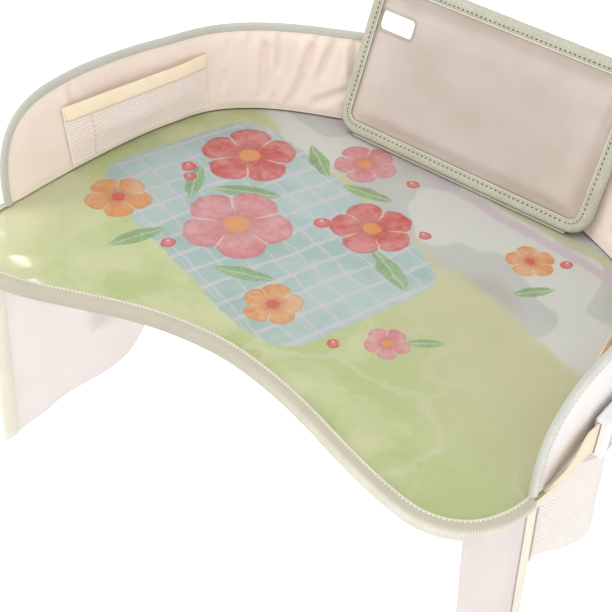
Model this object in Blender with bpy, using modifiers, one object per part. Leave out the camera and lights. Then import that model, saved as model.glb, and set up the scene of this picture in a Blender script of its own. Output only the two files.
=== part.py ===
"""Car seat tray table: a padded bean shaped lap tray with a curved wall, a leaning phone holder,
a waist strap with a side buckle and two hanging side wings. Metres, +Z up, +Y to the tray's back."""
from bisect import bisect_right
from math import cos, pi, radians, sin

import bmesh
import bpy
from mathutils import Vector

# Clearance between sewn or touching pieces, and the overrun of every cut
SEAM_GAP = 0.0003
CUT_OVERRUN = 0.002

# Deck seen from above, inside the wall and the front binding
DECK_WIDTH = 0.365
DECK_DEPTH = 0.285
FRONT_MARGIN = 0.0073
WALL_MARGIN = 0.0049
MARGIN_BLEND = 0.030

# Deck seam line, from the middle of the belly cut-out round to the right, as shares of half the
# deck's width and depth
OUTLINE_SHARES = (
    (0.000, -0.709), (0.175, -0.733), (0.340, -0.782), (0.521, -0.853), (0.668, -0.902),
    (0.800, -0.923), (0.899, -0.874), (0.959, -0.768), (0.986, -0.621), (0.994, -0.354),
    (0.992, -0.109), (0.978, 0.081), (0.953, 0.263), (0.910, 0.460), (0.827, 0.607),
    (0.718, 0.719), (0.575, 0.818), (0.384, 0.923), (0.192, 0.979), (0.000, 1.000),
    (-0.192, 0.979), (-0.384, 0.923), (-0.575, 0.818), (-0.718, 0.719), (-0.827, 0.607),
    (-0.910, 0.460), (-0.953, 0.263), (-0.978, 0.081), (-0.992, -0.130), (-1.000, -0.389),
    (-0.997, -0.677), (-0.972, -0.850), (-0.905, -0.958), (-0.800, -1.000), (-0.668, -0.965),
    (-0.521, -0.884), (-0.340, -0.786), (-0.175, -0.730),
)
SEAM_STEPS = 3

# Deck layers, from the underside up; the underside's padded field is a smaller copy of the deck
FIELD_DROP = 0.0022
FIELD_SHARE = 0.75
FIELD_SLOPE_SHARE = 0.03
UNDERSIDE_THICKNESS = 0.0010
BOARD_THICKNESS = 0.0012
BOARD_INSET = 0.0030
PAD_THICKNESS = 0.0018
PRINT_THICKNESS = 0.0004
FILM_THICKNESS = 0.0004

# Ribbed binding round the belly side and the narrow tape round the rim
BINDING_THICKNESS = 0.0009
BINDING_ROUNDING = 0.0020
BINDING_SETBACK = 0.0013
RIM_FLANGE = 0.0050

# Padded wall: where it starts and ends along the seam line, its layers and its rounded ends
WALL_SPAN_SHARES = (0.1850, 0.8064)
WALL_HEIGHT = 0.0556
WALL_END_ROUNDING = 0.056
END_ROUNDING_POWER = 3.0
WALL_COVER_THICKNESS = 0.0014
WALL_CORE_THICKNESS = 0.0008
WALL_BACK_THICKNESS = 0.0010
WALL_CORE_INSET = 0.0020
WALL_CROWN = 0.0010
WALL_CROWN_RAMP = 0.020
CROWN_SHARES = ((0.0, 0.0), (0.16, 0.8), (0.42, 1.0), (0.68, 0.8), (0.85, 0.0), (1.0, 0.0))
CORNER_STATIONS = 7

# Outward lean of the wall's top at places along the wall, from its right end to its left end
LEAN_PLACE_SHARES = (0.0, 0.15, 0.28, 0.36, 0.58, 0.66, 0.73, 0.785, 0.83, 0.90, 1.0)
LEAN_RIGHT_END = -0.0020
LEAN_RIGHT_SIDE = -0.0010
LEAN_RIGHT_CORNER = 0.0080
LEAN_BEHIND_HOLDER = 0.0163
LEAN_BESIDE_HOLDER = 0.0135
LEAN_BACK_LEFT = 0.0105
LEAN_LEFT_CORNER = 0.0070
LEAN_LEFT_REAR = 0.0115
LEAN_LEFT_SIDE = 0.0145
LEAN_LEFT_END = 0.0055

# Binding over the wall's top edge and down its ends
CAP_DEPTH = 0.0026
CAP_THICKNESS = 0.0008

# Net pockets on the wall's inside, each with an elastic band
POCKET_FROM_WALL_END = 0.053
POCKET_LENGTH = 0.112
POCKET_FLOOR = 0.0035
BAND_WIDTH = 0.0093
BAND_DROP = 0.0136
POCKET_BELLY = 0.0072
POCKET_EDGE_RAMP = 0.020
POCKET_NET_THICKNESS = 0.0008
BAND_THICKNESS = 0.0012

# Phone holder, measured in its own plane from the hinge line
HOLDER_WIDTH = 0.1895
HOLDER_HEIGHT = 0.108
HOLDER_SIDE_SHIFT = 0.0048
HOLDER_CORNER = 0.015
HOLDER_TILT = radians(20.5)
HOLDER_FROM_DECK_BACK = 0.0295
HOLDER_BINDING_WIDTH = 0.0075
HOLDER_TAPE_THICKNESS = 0.0010
HOLDER_BACK_THICKNESS = 0.0028
WINDOW_THICKNESS = 0.0006
SLEEVE_DEPTH = 0.0085
SLEEVE_RAMP = 0.013
CAMERA_HOLE_WIDTH = 0.026
CAMERA_HOLE_HEIGHT = 0.013
CAMERA_HOLE_CORNER = 0.003
CAMERA_HOLE_FROM_TOP = 0.0295
CAMERA_HOLE_FROM_SIDE = 0.0085
HINGE_TAPE_WIDTH = 0.012
HINGE_TAPE_THICKNESS = 0.0010
HINGE_TAPE_END = 0.014

# Side wings, hanging from hinge lines under the deck
WING_FROM_DECK_SIDE = 0.0175
WING_TAPE_WIDTH = 0.014
WING_TAPE_THICKNESS = 0.0014
WING_THICKNESS = 0.0016
WING_ROUNDING = 0.0007
WING_FOLD_DEPTH = 0.0022
WING_FOLDS = 2.5
WING_EDGE_THICKNESS = 0.0010
LEFT_WING_FROM_DECK_FRONT = 0.009
LEFT_WING_WIDTH = 0.143
LEFT_WING_DROP = 0.153
LEFT_EDGE_WIDTH = 0.011
RIGHT_WING_FROM_DECK_FRONT = 0.020
RIGHT_WING_WIDTH = 0.0785
RIGHT_WING_DROP = 0.175
RIGHT_EDGE_WIDTH = 0.0105
RIGHT_WING_SWING_SHARE = 0.130
WING_CORNER = 0.035
NET_WIDTH = 0.058
NET_TOP = 0.013
NET_DROP = 0.111
NET_BULGE = 0.019
NET_THICKNESS = 0.0010
LEFT_NET_FROM_REAR = 0.004

# Waist strap along the wall's outside
STRAP_WIDTH = 0.020
STRAP_THICKNESS = 0.0014
STRAP_ABOVE_DECK = 0.0030
STRAP_FROM_WALL_END = 0.006
STRAP_BLEND = 0.040

# Side release buckle on the strap, lengths along the tray's side
BUCKLE_FROM_WALL_END = 0.044
BUCKLE_HEIGHT = 0.0255
BUCKLE_THICKNESS = 0.0082
SOCKET_LENGTH = 0.024
TAIL_LENGTH = 0.013
TAIL_RAIL = 0.0024
TAIL_BAR = 0.0030
BUCKLE_WALL = 0.0017
PLUG_BLOCK_LENGTH = 0.008
PRONG_LENGTH = 0.014
PRONG_WIDTH = 0.0042
BUCKLE_TRAVEL = 0.015
STRAP_LAP = 0.012
BUCKLE_ROUNDING = 0.0012
SOCKET_WINDOW_LENGTH = 0.010

# Heights and places worked out from the sizes above
EDGE_FLOOR = FIELD_DROP
BOARD_FLOOR = EDGE_FLOOR + UNDERSIDE_THICKNESS + SEAM_GAP
PAD_FLOOR = BOARD_FLOOR + BOARD_THICKNESS + SEAM_GAP
PRINT_FLOOR = PAD_FLOOR + PAD_THICKNESS + SEAM_GAP
FILM_FLOOR = PRINT_FLOOR + PRINT_THICKNESS + SEAM_GAP
DECK_TOP = FILM_FLOOR + FILM_THICKNESS
WALL_FLOOR = DECK_TOP + SEAM_GAP
CORE_OUT = WALL_COVER_THICKNESS + SEAM_GAP
BACK_OUT = CORE_OUT + WALL_CORE_THICKNESS + SEAM_GAP
WING_FROM_MIDDLE = DECK_WIDTH / 2 - WING_FROM_DECK_SIDE
LEFT_WING_FRONT = LEFT_WING_FROM_DECK_FRONT - DECK_DEPTH / 2
RIGHT_WING_FRONT = RIGHT_WING_FROM_DECK_FRONT - DECK_DEPTH / 2
WALL_OUT = BACK_OUT + WALL_BACK_THICKNESS

FABRIC_ROUGHNESS = 0.9
MATERIALS = {
    "pink": ((0.82, 0.70, 0.62), FABRIC_ROUGHNESS, 0.0),
    "pale_pink": ((0.94, 0.85, 0.82), FABRIC_ROUGHNESS, 0.0),
    "sage": ((0.66, 0.70, 0.62), FABRIC_ROUGHNESS, 0.0),
    "greige": ((0.66, 0.62, 0.53), FABRIC_ROUGHNESS, 0.0),
    "cream": ((0.88, 0.83, 0.68), FABRIC_ROUGHNESS, 0.0),
    "yellow": ((0.93, 0.77, 0.55), FABRIC_ROUGHNESS, 0.0),
    "webbing": ((0.83, 0.71, 0.51), FABRIC_ROUGHNESS, 0.0),
    "taupe": ((0.62, 0.54, 0.47), FABRIC_ROUGHNESS, 0.0),
    "print": ((0.62, 0.66, 0.42), 0.6, 0.0),
    "film": ((0.80, 0.85, 0.82), 0.1, 0.0),
    "window": ((0.85, 0.88, 0.88), 0.1, 0.0),
    "board": ((0.75, 0.75, 0.72), 0.5, 0.0),
    "white": ((0.90, 0.90, 0.92), 0.35, 0.0),
}


def material_for(name, look):
    """Makes the Principled material of one sub-part."""
    colour, roughness, metallic = MATERIALS[look]
    material = bpy.data.materials.new(name + "_material")
    material.use_nodes = True
    shader = material.node_tree.nodes["Principled BSDF"]
    shader.inputs["Base Color"].default_value = (*colour, 1.0)
    shader.inputs["Roughness"].default_value = roughness
    shader.inputs["Metallic"].default_value = metallic
    return material


def add_object(name, mesh, look, parent=None):
    """Puts a mesh in the parts collection under its name, with its own material."""
    part = bpy.data.objects.new(name, mesh)
    mesh.materials.clear()
    mesh.materials.append(material_for(name, look))
    PARTS.objects.link(part)
    part.parent = parent
    mesh.shade_smooth()
    mesh.set_sharp_from_angle(angle=radians(40))
    return part


def add_pivot(name, place, tilt=0.0):
    """Adds an empty on a joint's axis."""
    pivot = bpy.data.objects.new(name, None)
    pivot.location = place
    pivot.rotation_euler.x = tilt
    PARTS.objects.link(pivot)
    return pivot


def smooth_share(share):
    """Eases a share from 0 to 1."""
    held = max(0.0, min(1.0, share))
    return held * held * (3.0 - 2.0 * held)


def value_between(places, values, place):
    """Reads a table of values at rising places, eased between its entries."""
    index = min(max(bisect_right(places, place) - 1, 0), len(places) - 2)
    share = (place - places[index]) / (places[index + 1] - places[index])
    return values[index] + (values[index + 1] - values[index]) * smooth_share(share)


def closed_curve_through(corners, steps):
    """Rounds a closed run of corners with a Catmull-Rom curve."""
    points = []
    count = len(corners)
    for index in range(count):
        before, start, end, after = (corners[(index + k) % count] for k in (-1, 0, 1, 2))
        for step in range(steps):
            t = step / steps
            points.append(0.5 * (2 * start + (end - before) * t
                                 + (2 * before - 5 * start + 4 * end - after) * t ** 2
                                 + (3 * start - before - 3 * end + after) * t ** 3))
    return points


class SeamLine:
    """The closed seam line round the deck, read by distance from the belly cut-out's middle."""

    def __init__(self):
        corners = [Vector((x * DECK_WIDTH / 2, y * DECK_DEPTH / 2)) for x, y in OUTLINE_SHARES]
        self.points = closed_curve_through(corners, SEAM_STEPS)
        self.marks = [0.0]
        for start, end in zip(self.points, self.points[1:] + self.points[:1]):
            self.marks.append(self.marks[-1] + (end - start).length)
        self.length = self.marks[-1]

    def point(self, distance):
        distance %= self.length
        index = min(bisect_right(self.marks, distance) - 1, len(self.points) - 1)
        start = self.points[index]
        end = self.points[(index + 1) % len(self.points)]
        share = (distance - self.marks[index]) / (self.marks[index + 1] - self.marks[index])
        return start.lerp(end, share)

    def outward(self, distance):
        reach = self.length / len(self.points)
        along = self.point(distance + reach) - self.point(distance - reach)
        return Vector((along.y, -along.x)).normalized()

    def place(self, distance, out, height):
        """A point in space, out from the seam line and above the underside."""
        spot = self.point(distance) + self.outward(distance) * out
        return Vector((spot.x, spot.y, height))


def add_quad(shape, first, second, third, fourth):
    """Adds a bent quad as two triangles, split the same way in every layer of the wall."""
    if first.co.z >= second.co.z:
        shape.faces.new((first, second, third))
        shape.faces.new((first, third, fourth))
    else:
        shape.faces.new((first, second, fourth))
        shape.faces.new((second, third, fourth))


def loft(name, rings, look, parent=None, closed=False):
    """Skins a run of rings that have equal point counts."""
    mesh = bpy.data.meshes.new(name)
    shape = bmesh.new()
    rows = [[shape.verts.new(point) for point in ring] for ring in rings]
    pairs = list(zip(rows, rows[1:]))
    if closed:
        pairs.append((rows[-1], rows[0]))
    for row, following in pairs:
        for i in range(len(row)):
            j = (i + 1) % len(row)
            add_quad(shape, row[i], row[j], following[j], following[i])
    if not closed:
        shape.faces.new(rows[0])
        shape.faces.new(rows[-1])
    bmesh.ops.recalc_face_normals(shape, faces=shape.faces)
    shape.to_mesh(mesh)
    shape.free()
    return add_object(name, mesh, look, parent)


def sheet(name, columns, rows, place, thickness, look, parent=None):
    """Bends a flat grid through place(across, up), both from 0 to 1, and thickens it."""
    mesh = bpy.data.meshes.new(name)
    shape = bmesh.new()
    bmesh.ops.create_grid(shape, x_segments=columns, y_segments=rows, size=0.5)
    for vertex in shape.verts:
        vertex.co = place(vertex.co.x + 0.5, vertex.co.y + 0.5)
    shape.to_mesh(mesh)
    shape.free()
    part = add_object(name, mesh, look, parent)
    solid = part.modifiers.new("Thickness", "SOLIDIFY")
    solid.thickness = thickness
    solid.offset = 0.0
    solid.use_even_offset = True
    return part


def flat_solid(name, outlines, floor, thickness, look, parent=None):
    """Extrudes flat outlines, the later ones being holes, from a floor height."""
    curve = bpy.data.curves.new(name, "CURVE")
    curve.dimensions = "2D"
    curve.fill_mode = "BOTH"
    curve.extrude = thickness / 2
    for outline in outlines:
        spline = curve.splines.new("POLY")
        spline.points.add(len(outline) - 1)
        spline.use_cyclic_u = True
        for knot, (x, y) in zip(spline.points, outline):
            knot.co = (x, y, 0.0, 1.0)
    guide = bpy.data.objects.new(name + "_outline", curve)
    bpy.context.scene.collection.objects.link(guide)
    depsgraph = bpy.context.evaluated_depsgraph_get()
    mesh = bpy.data.meshes.new_from_object(guide.evaluated_get(depsgraph))
    bpy.data.objects.remove(guide)
    shape = bmesh.new()
    shape.from_mesh(mesh)
    bmesh.ops.remove_doubles(shape, verts=shape.verts, dist=SEAM_GAP / 10)
    bmesh.ops.recalc_face_normals(shape, faces=shape.faces)
    bmesh.ops.translate(shape, verts=shape.verts, vec=(0.0, 0.0, floor + thickness / 2))
    shape.to_mesh(mesh)
    shape.free()
    return add_object(name, mesh, look, parent)


def add_block(name, low, high):
    """Makes a box mesh between two corners."""
    mesh = bpy.data.meshes.new(name)
    shape = bmesh.new()
    bmesh.ops.create_cube(shape, size=1.0)
    for vertex in shape.verts:
        vertex.co = Vector(low[k] if vertex.co[k] < 0 else high[k] for k in range(3))
    shape.to_mesh(mesh)
    shape.free()
    return mesh


def cut_block(part, name, low, high):
    """Cuts a box out of a part and keeps the cutter as a hidden wire guide."""
    cutter = bpy.data.objects.new(part.name + "_" + name, add_block(name, low, high))
    cutter.hide_render = True
    cutter.display_type = "WIRE"
    CUTTERS.objects.link(cutter)
    cut = part.modifiers.new(name, "BOOLEAN")
    cut.operation = "DIFFERENCE"
    cut.object = cutter


def round_edges(part, width, segments=1):
    """Rounds a part's square edges."""
    bevel = part.modifiers.new("Rounded edges", "BEVEL")
    bevel.width = width
    bevel.segments = segments
    bevel.limit_method = "ANGLE"
    bevel.angle_limit = radians(50)


def spread(start, end, count):
    """Even places from start to end, both included."""
    return [start + (end - start) * index / (count - 1) for index in range(count)]


def stations_between(seam, start, end):
    """Distances from start to end that pass through the seam line's own points."""
    apart = seam.length / len(seam.points) / 4
    marks = [mark + turn * seam.length for turn in (0, 1) for mark in seam.marks[:-1]]
    return [start] + [mark for mark in marks if start + apart < mark < end - apart] + [end]


def wall_span(seam):
    """Distances of the wall's right and left ends along the seam line."""
    return tuple(share * seam.length for share in WALL_SPAN_SHARES)


def margin_at(seam, distance):
    """Width of the deck outside the seam line: wide at the belly side, narrow under the wall."""
    start, end = wall_span(seam)
    distance %= seam.length
    before_wall = start - distance
    after_wall = distance - end
    away = max(before_wall, after_wall, 0.0)
    return WALL_MARGIN + (FRONT_MARGIN - WALL_MARGIN) * smooth_share(away / MARGIN_BLEND)


def deck_outline(seam, inset):
    """The deck's outer edge as flat points, drawn in by an inset."""
    points = []
    for distance in seam.marks[:-1]:
        spot = seam.place(distance, margin_at(seam, distance) - inset, 0.0)
        points.append((spot.x, spot.y))
    return points


def make_underside(seam):
    """Underside cover: thin where it is bound, with a padded field in its middle."""
    edge = deck_outline(seam, 0.0)
    steps = ((1.0, EDGE_FLOOR + UNDERSIDE_THICKNESS), (1.0, EDGE_FLOOR),
             (FIELD_SHARE + FIELD_SLOPE_SHARE, EDGE_FLOOR), (FIELD_SHARE, 0.0))
    rings = [[Vector((x * share, y * share, height)) for x, y in edge] for share, height in steps]
    loft("underside_cover", rings, "pale_pink")


def make_deck_layers(seam):
    """Underside cover, stiff board, foam pad, printed cloth and clear film."""
    edge = deck_outline(seam, 0.0)
    make_underside(seam)
    board = deck_outline(seam, BOARD_INSET)
    flat_solid("core_board", [board], BOARD_FLOOR, BOARD_THICKNESS, "board")
    flat_solid("deck_pad", [edge], PAD_FLOOR, PAD_THICKNESS, "cream")
    flat_solid("deck_print", [edge], PRINT_FLOOR, PRINT_THICKNESS, "print")
    flat_solid("deck_film", [edge], FILM_FLOOR, FILM_THICKNESS, "film")


def front_binding_ring(seam, distance):
    """Section of the wide ribbed binding, folded round the belly edge."""
    margin = margin_at(seam, distance)
    inner = margin + SEAM_GAP
    outer = inner + BINDING_THICKNESS
    top = DECK_TOP + SEAM_GAP
    upper = top + BINDING_THICKNESS
    lower = EDGE_FLOOR - SEAM_GAP - BINDING_THICKNESS
    softened = BINDING_ROUNDING * (1 - cos(pi / 4))
    section = (
        (BINDING_SETBACK, top), (BINDING_SETBACK, upper), (outer - BINDING_ROUNDING, upper),
        (outer - softened, upper - softened), (outer, upper - BINDING_ROUNDING),
        (outer, lower + BINDING_ROUNDING), (outer - softened, lower + softened),
        (outer - BINDING_ROUNDING, lower), (0.0, lower), (0.0, EDGE_FLOOR - SEAM_GAP),
        (inner, EDGE_FLOOR - SEAM_GAP), (inner, top),
    )
    return [seam.place(distance, out, height) for out, height in section]


def make_front_binding(seam):
    start, end = wall_span(seam)
    setback = CAP_THICKNESS + 2 * SEAM_GAP
    places = stations_between(seam, end + setback, start + seam.length - setback)
    loft("front_binding", [front_binding_ring(seam, d) for d in places], "greige")


def make_rim_binding(seam):
    """Narrow tape round the rim outside the wall."""
    start, end = wall_span(seam)
    inner = WALL_MARGIN + SEAM_GAP
    outer = inner + BINDING_THICKNESS
    upper = EDGE_FLOOR - SEAM_GAP
    lower = upper - BINDING_THICKNESS
    section = (
        (inner, DECK_TOP), (outer, DECK_TOP), (outer, upper), (inner, lower),
        (inner - RIM_FLANGE, lower), (inner - RIM_FLANGE, upper), (inner, upper),
    )
    setback = CAP_THICKNESS + SEAM_GAP
    places = stations_between(seam, start - setback, end + setback)
    rings = [[seam.place(d, out, height) for out, height in section] for d in places]
    loft("rim_binding", rings, "cream")


def wall_lean(seam, distance):
    """How far the wall's top stands outside its foot."""
    start, end = wall_span(seam)
    leans = (LEAN_RIGHT_END, LEAN_RIGHT_SIDE, LEAN_RIGHT_CORNER, LEAN_BEHIND_HOLDER,
             LEAN_BEHIND_HOLDER, LEAN_BESIDE_HOLDER, LEAN_BACK_LEFT, LEAN_LEFT_CORNER,
             LEAN_LEFT_REAR, LEAN_LEFT_SIDE, LEAN_LEFT_END)
    return value_between(LEAN_PLACE_SHARES, leans, (distance - start) / (end - start))


def wall_place(seam, distance, out, height):
    """A point out from the wall's leaning inner face, at a height above the deck."""
    start, end = wall_span(seam)
    held = min(max(distance, start), end)
    lean = wall_lean(seam, held) * height / WALL_HEIGHT
    spot = seam.point(held) + seam.outward(held) * (out + lean)
    beyond = distance - held
    along = seam.outward(held)
    spot = spot + Vector((-along.y, along.x)) * beyond
    return Vector((spot.x, spot.y, WALL_FLOOR + height))


def end_curve():
    """The wall's rounded end as (distance in from the end, height) pairs, foot to top."""
    pairs = []
    for index in range(CORNER_STATIONS):
        angle = pi / 2 * (index + 1) / CORNER_STATIONS
        run = WALL_END_ROUNDING * (1 - cos(angle) ** (2 / END_ROUNDING_POWER))
        rise = WALL_HEIGHT * sin(angle) ** (2 / END_ROUNDING_POWER)
        pairs.append((run, rise))
    return pairs


def wall_stations(seam, inset=0.0):
    """Distances along the wall with its height at each."""
    start, end = wall_span(seam)
    curve = end_curve()
    stations = [(start + inset + run, rise) for run, rise in curve[:-1]]
    first = start + inset + WALL_END_ROUNDING
    last = end - inset - WALL_END_ROUNDING
    stations += [(place, WALL_HEIGHT) for place in stations_between(seam, first, last)]
    stations += [(end - inset - run, rise) for run, rise in reversed(curve[:-1])]
    return stations


def wall_layer(name, seam, stations, inner, outer, clearance, look):
    """A plain layer of the wall between two distances out from its inner face."""
    rings = []
    for distance, height in stations:
        top = height - clearance
        corners = ((inner, 0.0), (inner, top), (outer, top), (outer, 0.0))
        rings.append([wall_place(seam, distance, out, rise) for out, rise in corners])
    loft(name, rings, look)


def cover_puff(seam, distance):
    """Inward swell of the padded inner cover, none under the binding at the wall's ends."""
    start, end = wall_span(seam)
    from_end = min(distance - start, end - distance)
    return WALL_CROWN * smooth_share((from_end - CAP_DEPTH) / WALL_CROWN_RAMP)


def make_inner_cover(seam):
    """Padded inner cover with its crown."""
    rings = []
    for distance, height in wall_stations(seam):
        puff = cover_puff(seam, distance)
        ring = [wall_place(seam, distance, -puff * share, height * rise)
                for rise, share in CROWN_SHARES]
        ring.append(wall_place(seam, distance, WALL_COVER_THICKNESS, height))
        ring.append(wall_place(seam, distance, WALL_COVER_THICKNESS, 0.0))
        rings.append(ring)
    loft("wall_inner_cover", rings, "pink")


def cap_path(seam):
    """The wall's top edge line: (distance, height, step along, rise) with the outward turn."""
    start, end = wall_span(seam)
    rising = [(0.0, 0.0)] + end_curve()
    path = [(start + run, rise) for run, rise in rising[:-1]]
    first = start + WALL_END_ROUNDING
    last = end - WALL_END_ROUNDING
    path += [(place, WALL_HEIGHT) for place in stations_between(seam, first, last)]
    path += [(end - run, rise) for run, rise in reversed(rising[:-1])]
    return path


def make_wall_cap(seam):
    """Binding folded over the wall's top edge and down both ends to the deck."""
    inner = -SEAM_GAP
    outer = WALL_OUT + SEAM_GAP
    crest = SEAM_GAP + CAP_THICKNESS
    soft = CAP_THICKNESS / 2
    section = (
        (inner - CAP_THICKNESS, -CAP_DEPTH), (inner - CAP_THICKNESS, crest - soft),
        (inner - CAP_THICKNESS + soft, crest), (outer + CAP_THICKNESS - soft, crest),
        (outer + CAP_THICKNESS, crest - soft), (outer + CAP_THICKNESS, -CAP_DEPTH),
        (outer, -CAP_DEPTH), (outer, SEAM_GAP), (inner, SEAM_GAP), (inner, -CAP_DEPTH),
    )
    path = cap_path(seam)
    rings = []
    for index, (distance, height) in enumerate(path):
        before = path[max(index - 1, 0)]
        after = path[min(index + 1, len(path) - 1)]
        along = Vector((after[0] - before[0], after[1] - before[1])).normalized()
        if index in (0, len(path) - 1):
            along = Vector((0.0, 1.0 if index == 0 else -1.0))
        away = Vector((-along.y, along.x))
        ring = []
        for out, crest_height in section:
            ring.append(wall_place(seam, distance + away.x * crest_height, out,
                                   height + away.y * crest_height))
        rings.append(ring)
    loft("wall_top_binding", rings, "sage")


def make_wall(seam):
    """Inner cover, stiff core sheet, outer cover and the binding over them."""
    make_inner_cover(seam)
    core_height = WALL_CORE_INSET / 2
    core_stations = wall_stations(seam, WALL_CORE_INSET)
    wall_layer("wall_core", seam, core_stations, CORE_OUT, CORE_OUT + WALL_CORE_THICKNESS,
               core_height, "board")
    back_stations = wall_stations(seam)
    wall_layer("wall_outer_cover", seam, back_stations, BACK_OUT, WALL_OUT, 0.0, "pale_pink")
    make_wall_cap(seam)


def pocket_stand_off(share):
    """How far the pocket's top edge stands off the wall along its length."""
    from_end = min(share, 1 - share) * POCKET_LENGTH
    return POCKET_BELLY * smooth_share(from_end / POCKET_EDGE_RAMP)


def make_wall_pocket(seam, side, near_end, direction):
    """Net pocket and its elastic band on the wall's inside."""
    band_top = WALL_HEIGHT - BAND_DROP
    band_foot = band_top - BAND_WIDTH
    net_top = band_foot - SEAM_GAP
    against_wall = WALL_CROWN + SEAM_GAP

    def along(share):
        return near_end + direction * POCKET_LENGTH * share

    def net_place(across, up):
        height = POCKET_FLOOR + (net_top - POCKET_FLOOR) * up
        swell = pocket_stand_off(across) * smooth_share(up * 1.6)
        return wall_place(seam, along(across), -against_wall - POCKET_NET_THICKNESS - swell,
                          height)

    def band_place(across, up):
        height = band_foot + BAND_WIDTH * up
        swell = pocket_stand_off(across)
        return wall_place(seam, along(across), -against_wall - BAND_THICKNESS - swell, height)

    sheet(f"inner_pocket_net_{side}", 16, 5, net_place, POCKET_NET_THICKNESS, "pale_pink")
    sheet(f"inner_pocket_band_{side}", 16, 1, band_place, BAND_THICKNESS, "yellow")


def make_wall_pockets(seam):
    start, end = wall_span(seam)
    make_wall_pocket(seam, "right", start + POCKET_FROM_WALL_END, 1)
    make_wall_pocket(seam, "left", end - POCKET_FROM_WALL_END, -1)


def rounded_rectangle(low, high, radius, arc_steps):
    """Points round a rectangle with arcs at its corners, counter-clockwise."""
    centres = ((high.x - radius, low.y + radius, -pi / 2), (high.x - radius, high.y - radius, 0),
               (low.x + radius, high.y - radius, pi / 2), (low.x + radius, low.y + radius, pi))
    points = []
    for x, y, turn in centres:
        for step in range(arc_steps + 1):
            angle = turn + pi / 2 * step / arc_steps
            points.append(Vector((x + radius * cos(angle), y + radius * sin(angle))))
    return points


def holder_half_depth():
    """Half the thickness of the holder's bound edge, which is also the hinge's rounding."""
    contents = HOLDER_BACK_THICKNESS + WINDOW_THICKNESS + 3 * SEAM_GAP
    return contents / 2 + HOLDER_TAPE_THICKNESS


def holder_box(inset):
    """Corners of the holder's outline in its own plane, drawn in by an inset."""
    foot = -holder_half_depth()
    low = Vector((HOLDER_SIDE_SHIFT - HOLDER_WIDTH / 2 + inset, foot + inset))
    high = Vector((HOLDER_SIDE_SHIFT + HOLDER_WIDTH / 2 - inset, foot + HOLDER_HEIGHT - inset))
    return low, high


def stand_up(mesh, back):
    """Turns a flat solid made lying down into the holder's plane, its front at -Y."""
    for vertex in mesh.vertices:
        across, up, depth = vertex.co
        vertex.co = (across, back - depth, up)


def make_holder_back(pivot):
    """Back panel with the camera hole."""
    inset = HOLDER_TAPE_THICKNESS + SEAM_GAP
    low, high = holder_box(inset)
    outline = rounded_rectangle(low, high, HOLDER_CORNER - inset, 6)
    hole_low = Vector((holder_box(0.0)[0].x + CAMERA_HOLE_FROM_SIDE,
                       high.y - CAMERA_HOLE_FROM_TOP - CAMERA_HOLE_HEIGHT / 2))
    hole_high = hole_low + Vector((CAMERA_HOLE_WIDTH, CAMERA_HOLE_HEIGHT))
    hole = rounded_rectangle(hole_low, hole_high, CAMERA_HOLE_CORNER, 4)
    part = flat_solid("holder_back", [outline, hole], 0.0, HOLDER_BACK_THICKNESS, "taupe", pivot)
    stand_up(part.data, holder_half_depth() - HOLDER_TAPE_THICKNESS - SEAM_GAP)


def make_holder_window(pivot):
    """Clear sleeve front: sewn at three sides, open at the left, with room for a phone."""
    edge_inset = HOLDER_TAPE_THICKNESS + SEAM_GAP
    low, high = holder_box(edge_inset)
    open_side = low.x - edge_inset + HOLDER_CORNER
    back_face = (holder_half_depth() - HOLDER_TAPE_THICKNESS - SEAM_GAP
                 - HOLDER_BACK_THICKNESS - SEAM_GAP - WINDOW_THICKNESS / 2)
    seam_width = HOLDER_BINDING_WIDTH - edge_inset
    corner = HOLDER_CORNER - edge_inset
    stops = (0.0, 0.25, 0.5, 0.75, 1.0)

    def spaced(share, length, both_sides):
        """Places columns or rows closer together where the film rises."""
        edge = seam_width + SLEEVE_RAMP
        near = [edge * stop for stop in (0.0, 0.34, 0.50, 0.67, 0.84, 1.0)]
        far = [length - value for value in reversed(near)]
        middle = [near[-1] + (far[0] - near[-1]) * stop for stop in stops[1:-1]]
        opening = [far[0] * stop for stop in stops[:-1]]
        places = near + middle + far if both_sides else opening + far
        return places[round(share * (len(places) - 1))]

    def place(across, up):
        x = open_side + spaced(across, high.x - open_side, False)
        z = low.y + spaced(up, high.y - low.y, True)
        nearest = min(high.x - x, z - low.y, high.y - z)
        middle = Vector((high.x - corner, min(max(z, low.y + corner), high.y - corner)))
        off = Vector((x, z)) - middle
        if off.x > 0:
            off = off.normalized() * min(off.length, corner)
            x, z = middle + off
            nearest = corner - off.length
        swell = SLEEVE_DEPTH * smooth_share((nearest - seam_width) / SLEEVE_RAMP)
        return Vector((x, back_face - swell, z))

    sheet("holder_window", 9, 14, place, WINDOW_THICKNESS, "window", pivot)


def make_holder_binding(pivot):
    """Bound edge folded round the holder's back and film."""
    half = holder_half_depth()
    inner_half = half - HOLDER_TAPE_THICKNESS
    centres = rounded_rectangle(*holder_box(0.0), HOLDER_CORNER, 5)
    softened = half * (1 - cos(pi / 4))
    section = (
        (HOLDER_BINDING_WIDTH, -half), (half, -half), (softened, -half + softened), (0.0, 0.0),
        (softened, half - softened), (half, half), (HOLDER_BINDING_WIDTH, half),
        (HOLDER_BINDING_WIDTH, inner_half), (HOLDER_TAPE_THICKNESS, inner_half),
        (HOLDER_TAPE_THICKNESS, -inner_half), (HOLDER_BINDING_WIDTH, -inner_half),
    )
    rings = []
    for index, point in enumerate(centres):
        before = centres[index - 1]
        after = centres[(index + 1) % len(centres)]
        along = (after - before).normalized()
        inward = Vector((-along.y, along.x))
        ring = []
        for depth, out in section:
            spot = point + inward * depth
            ring.append(Vector((spot.x, out, spot.y)))
        rings.append(ring)
    loft("holder_binding", rings, "sage", pivot, closed=True)


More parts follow.
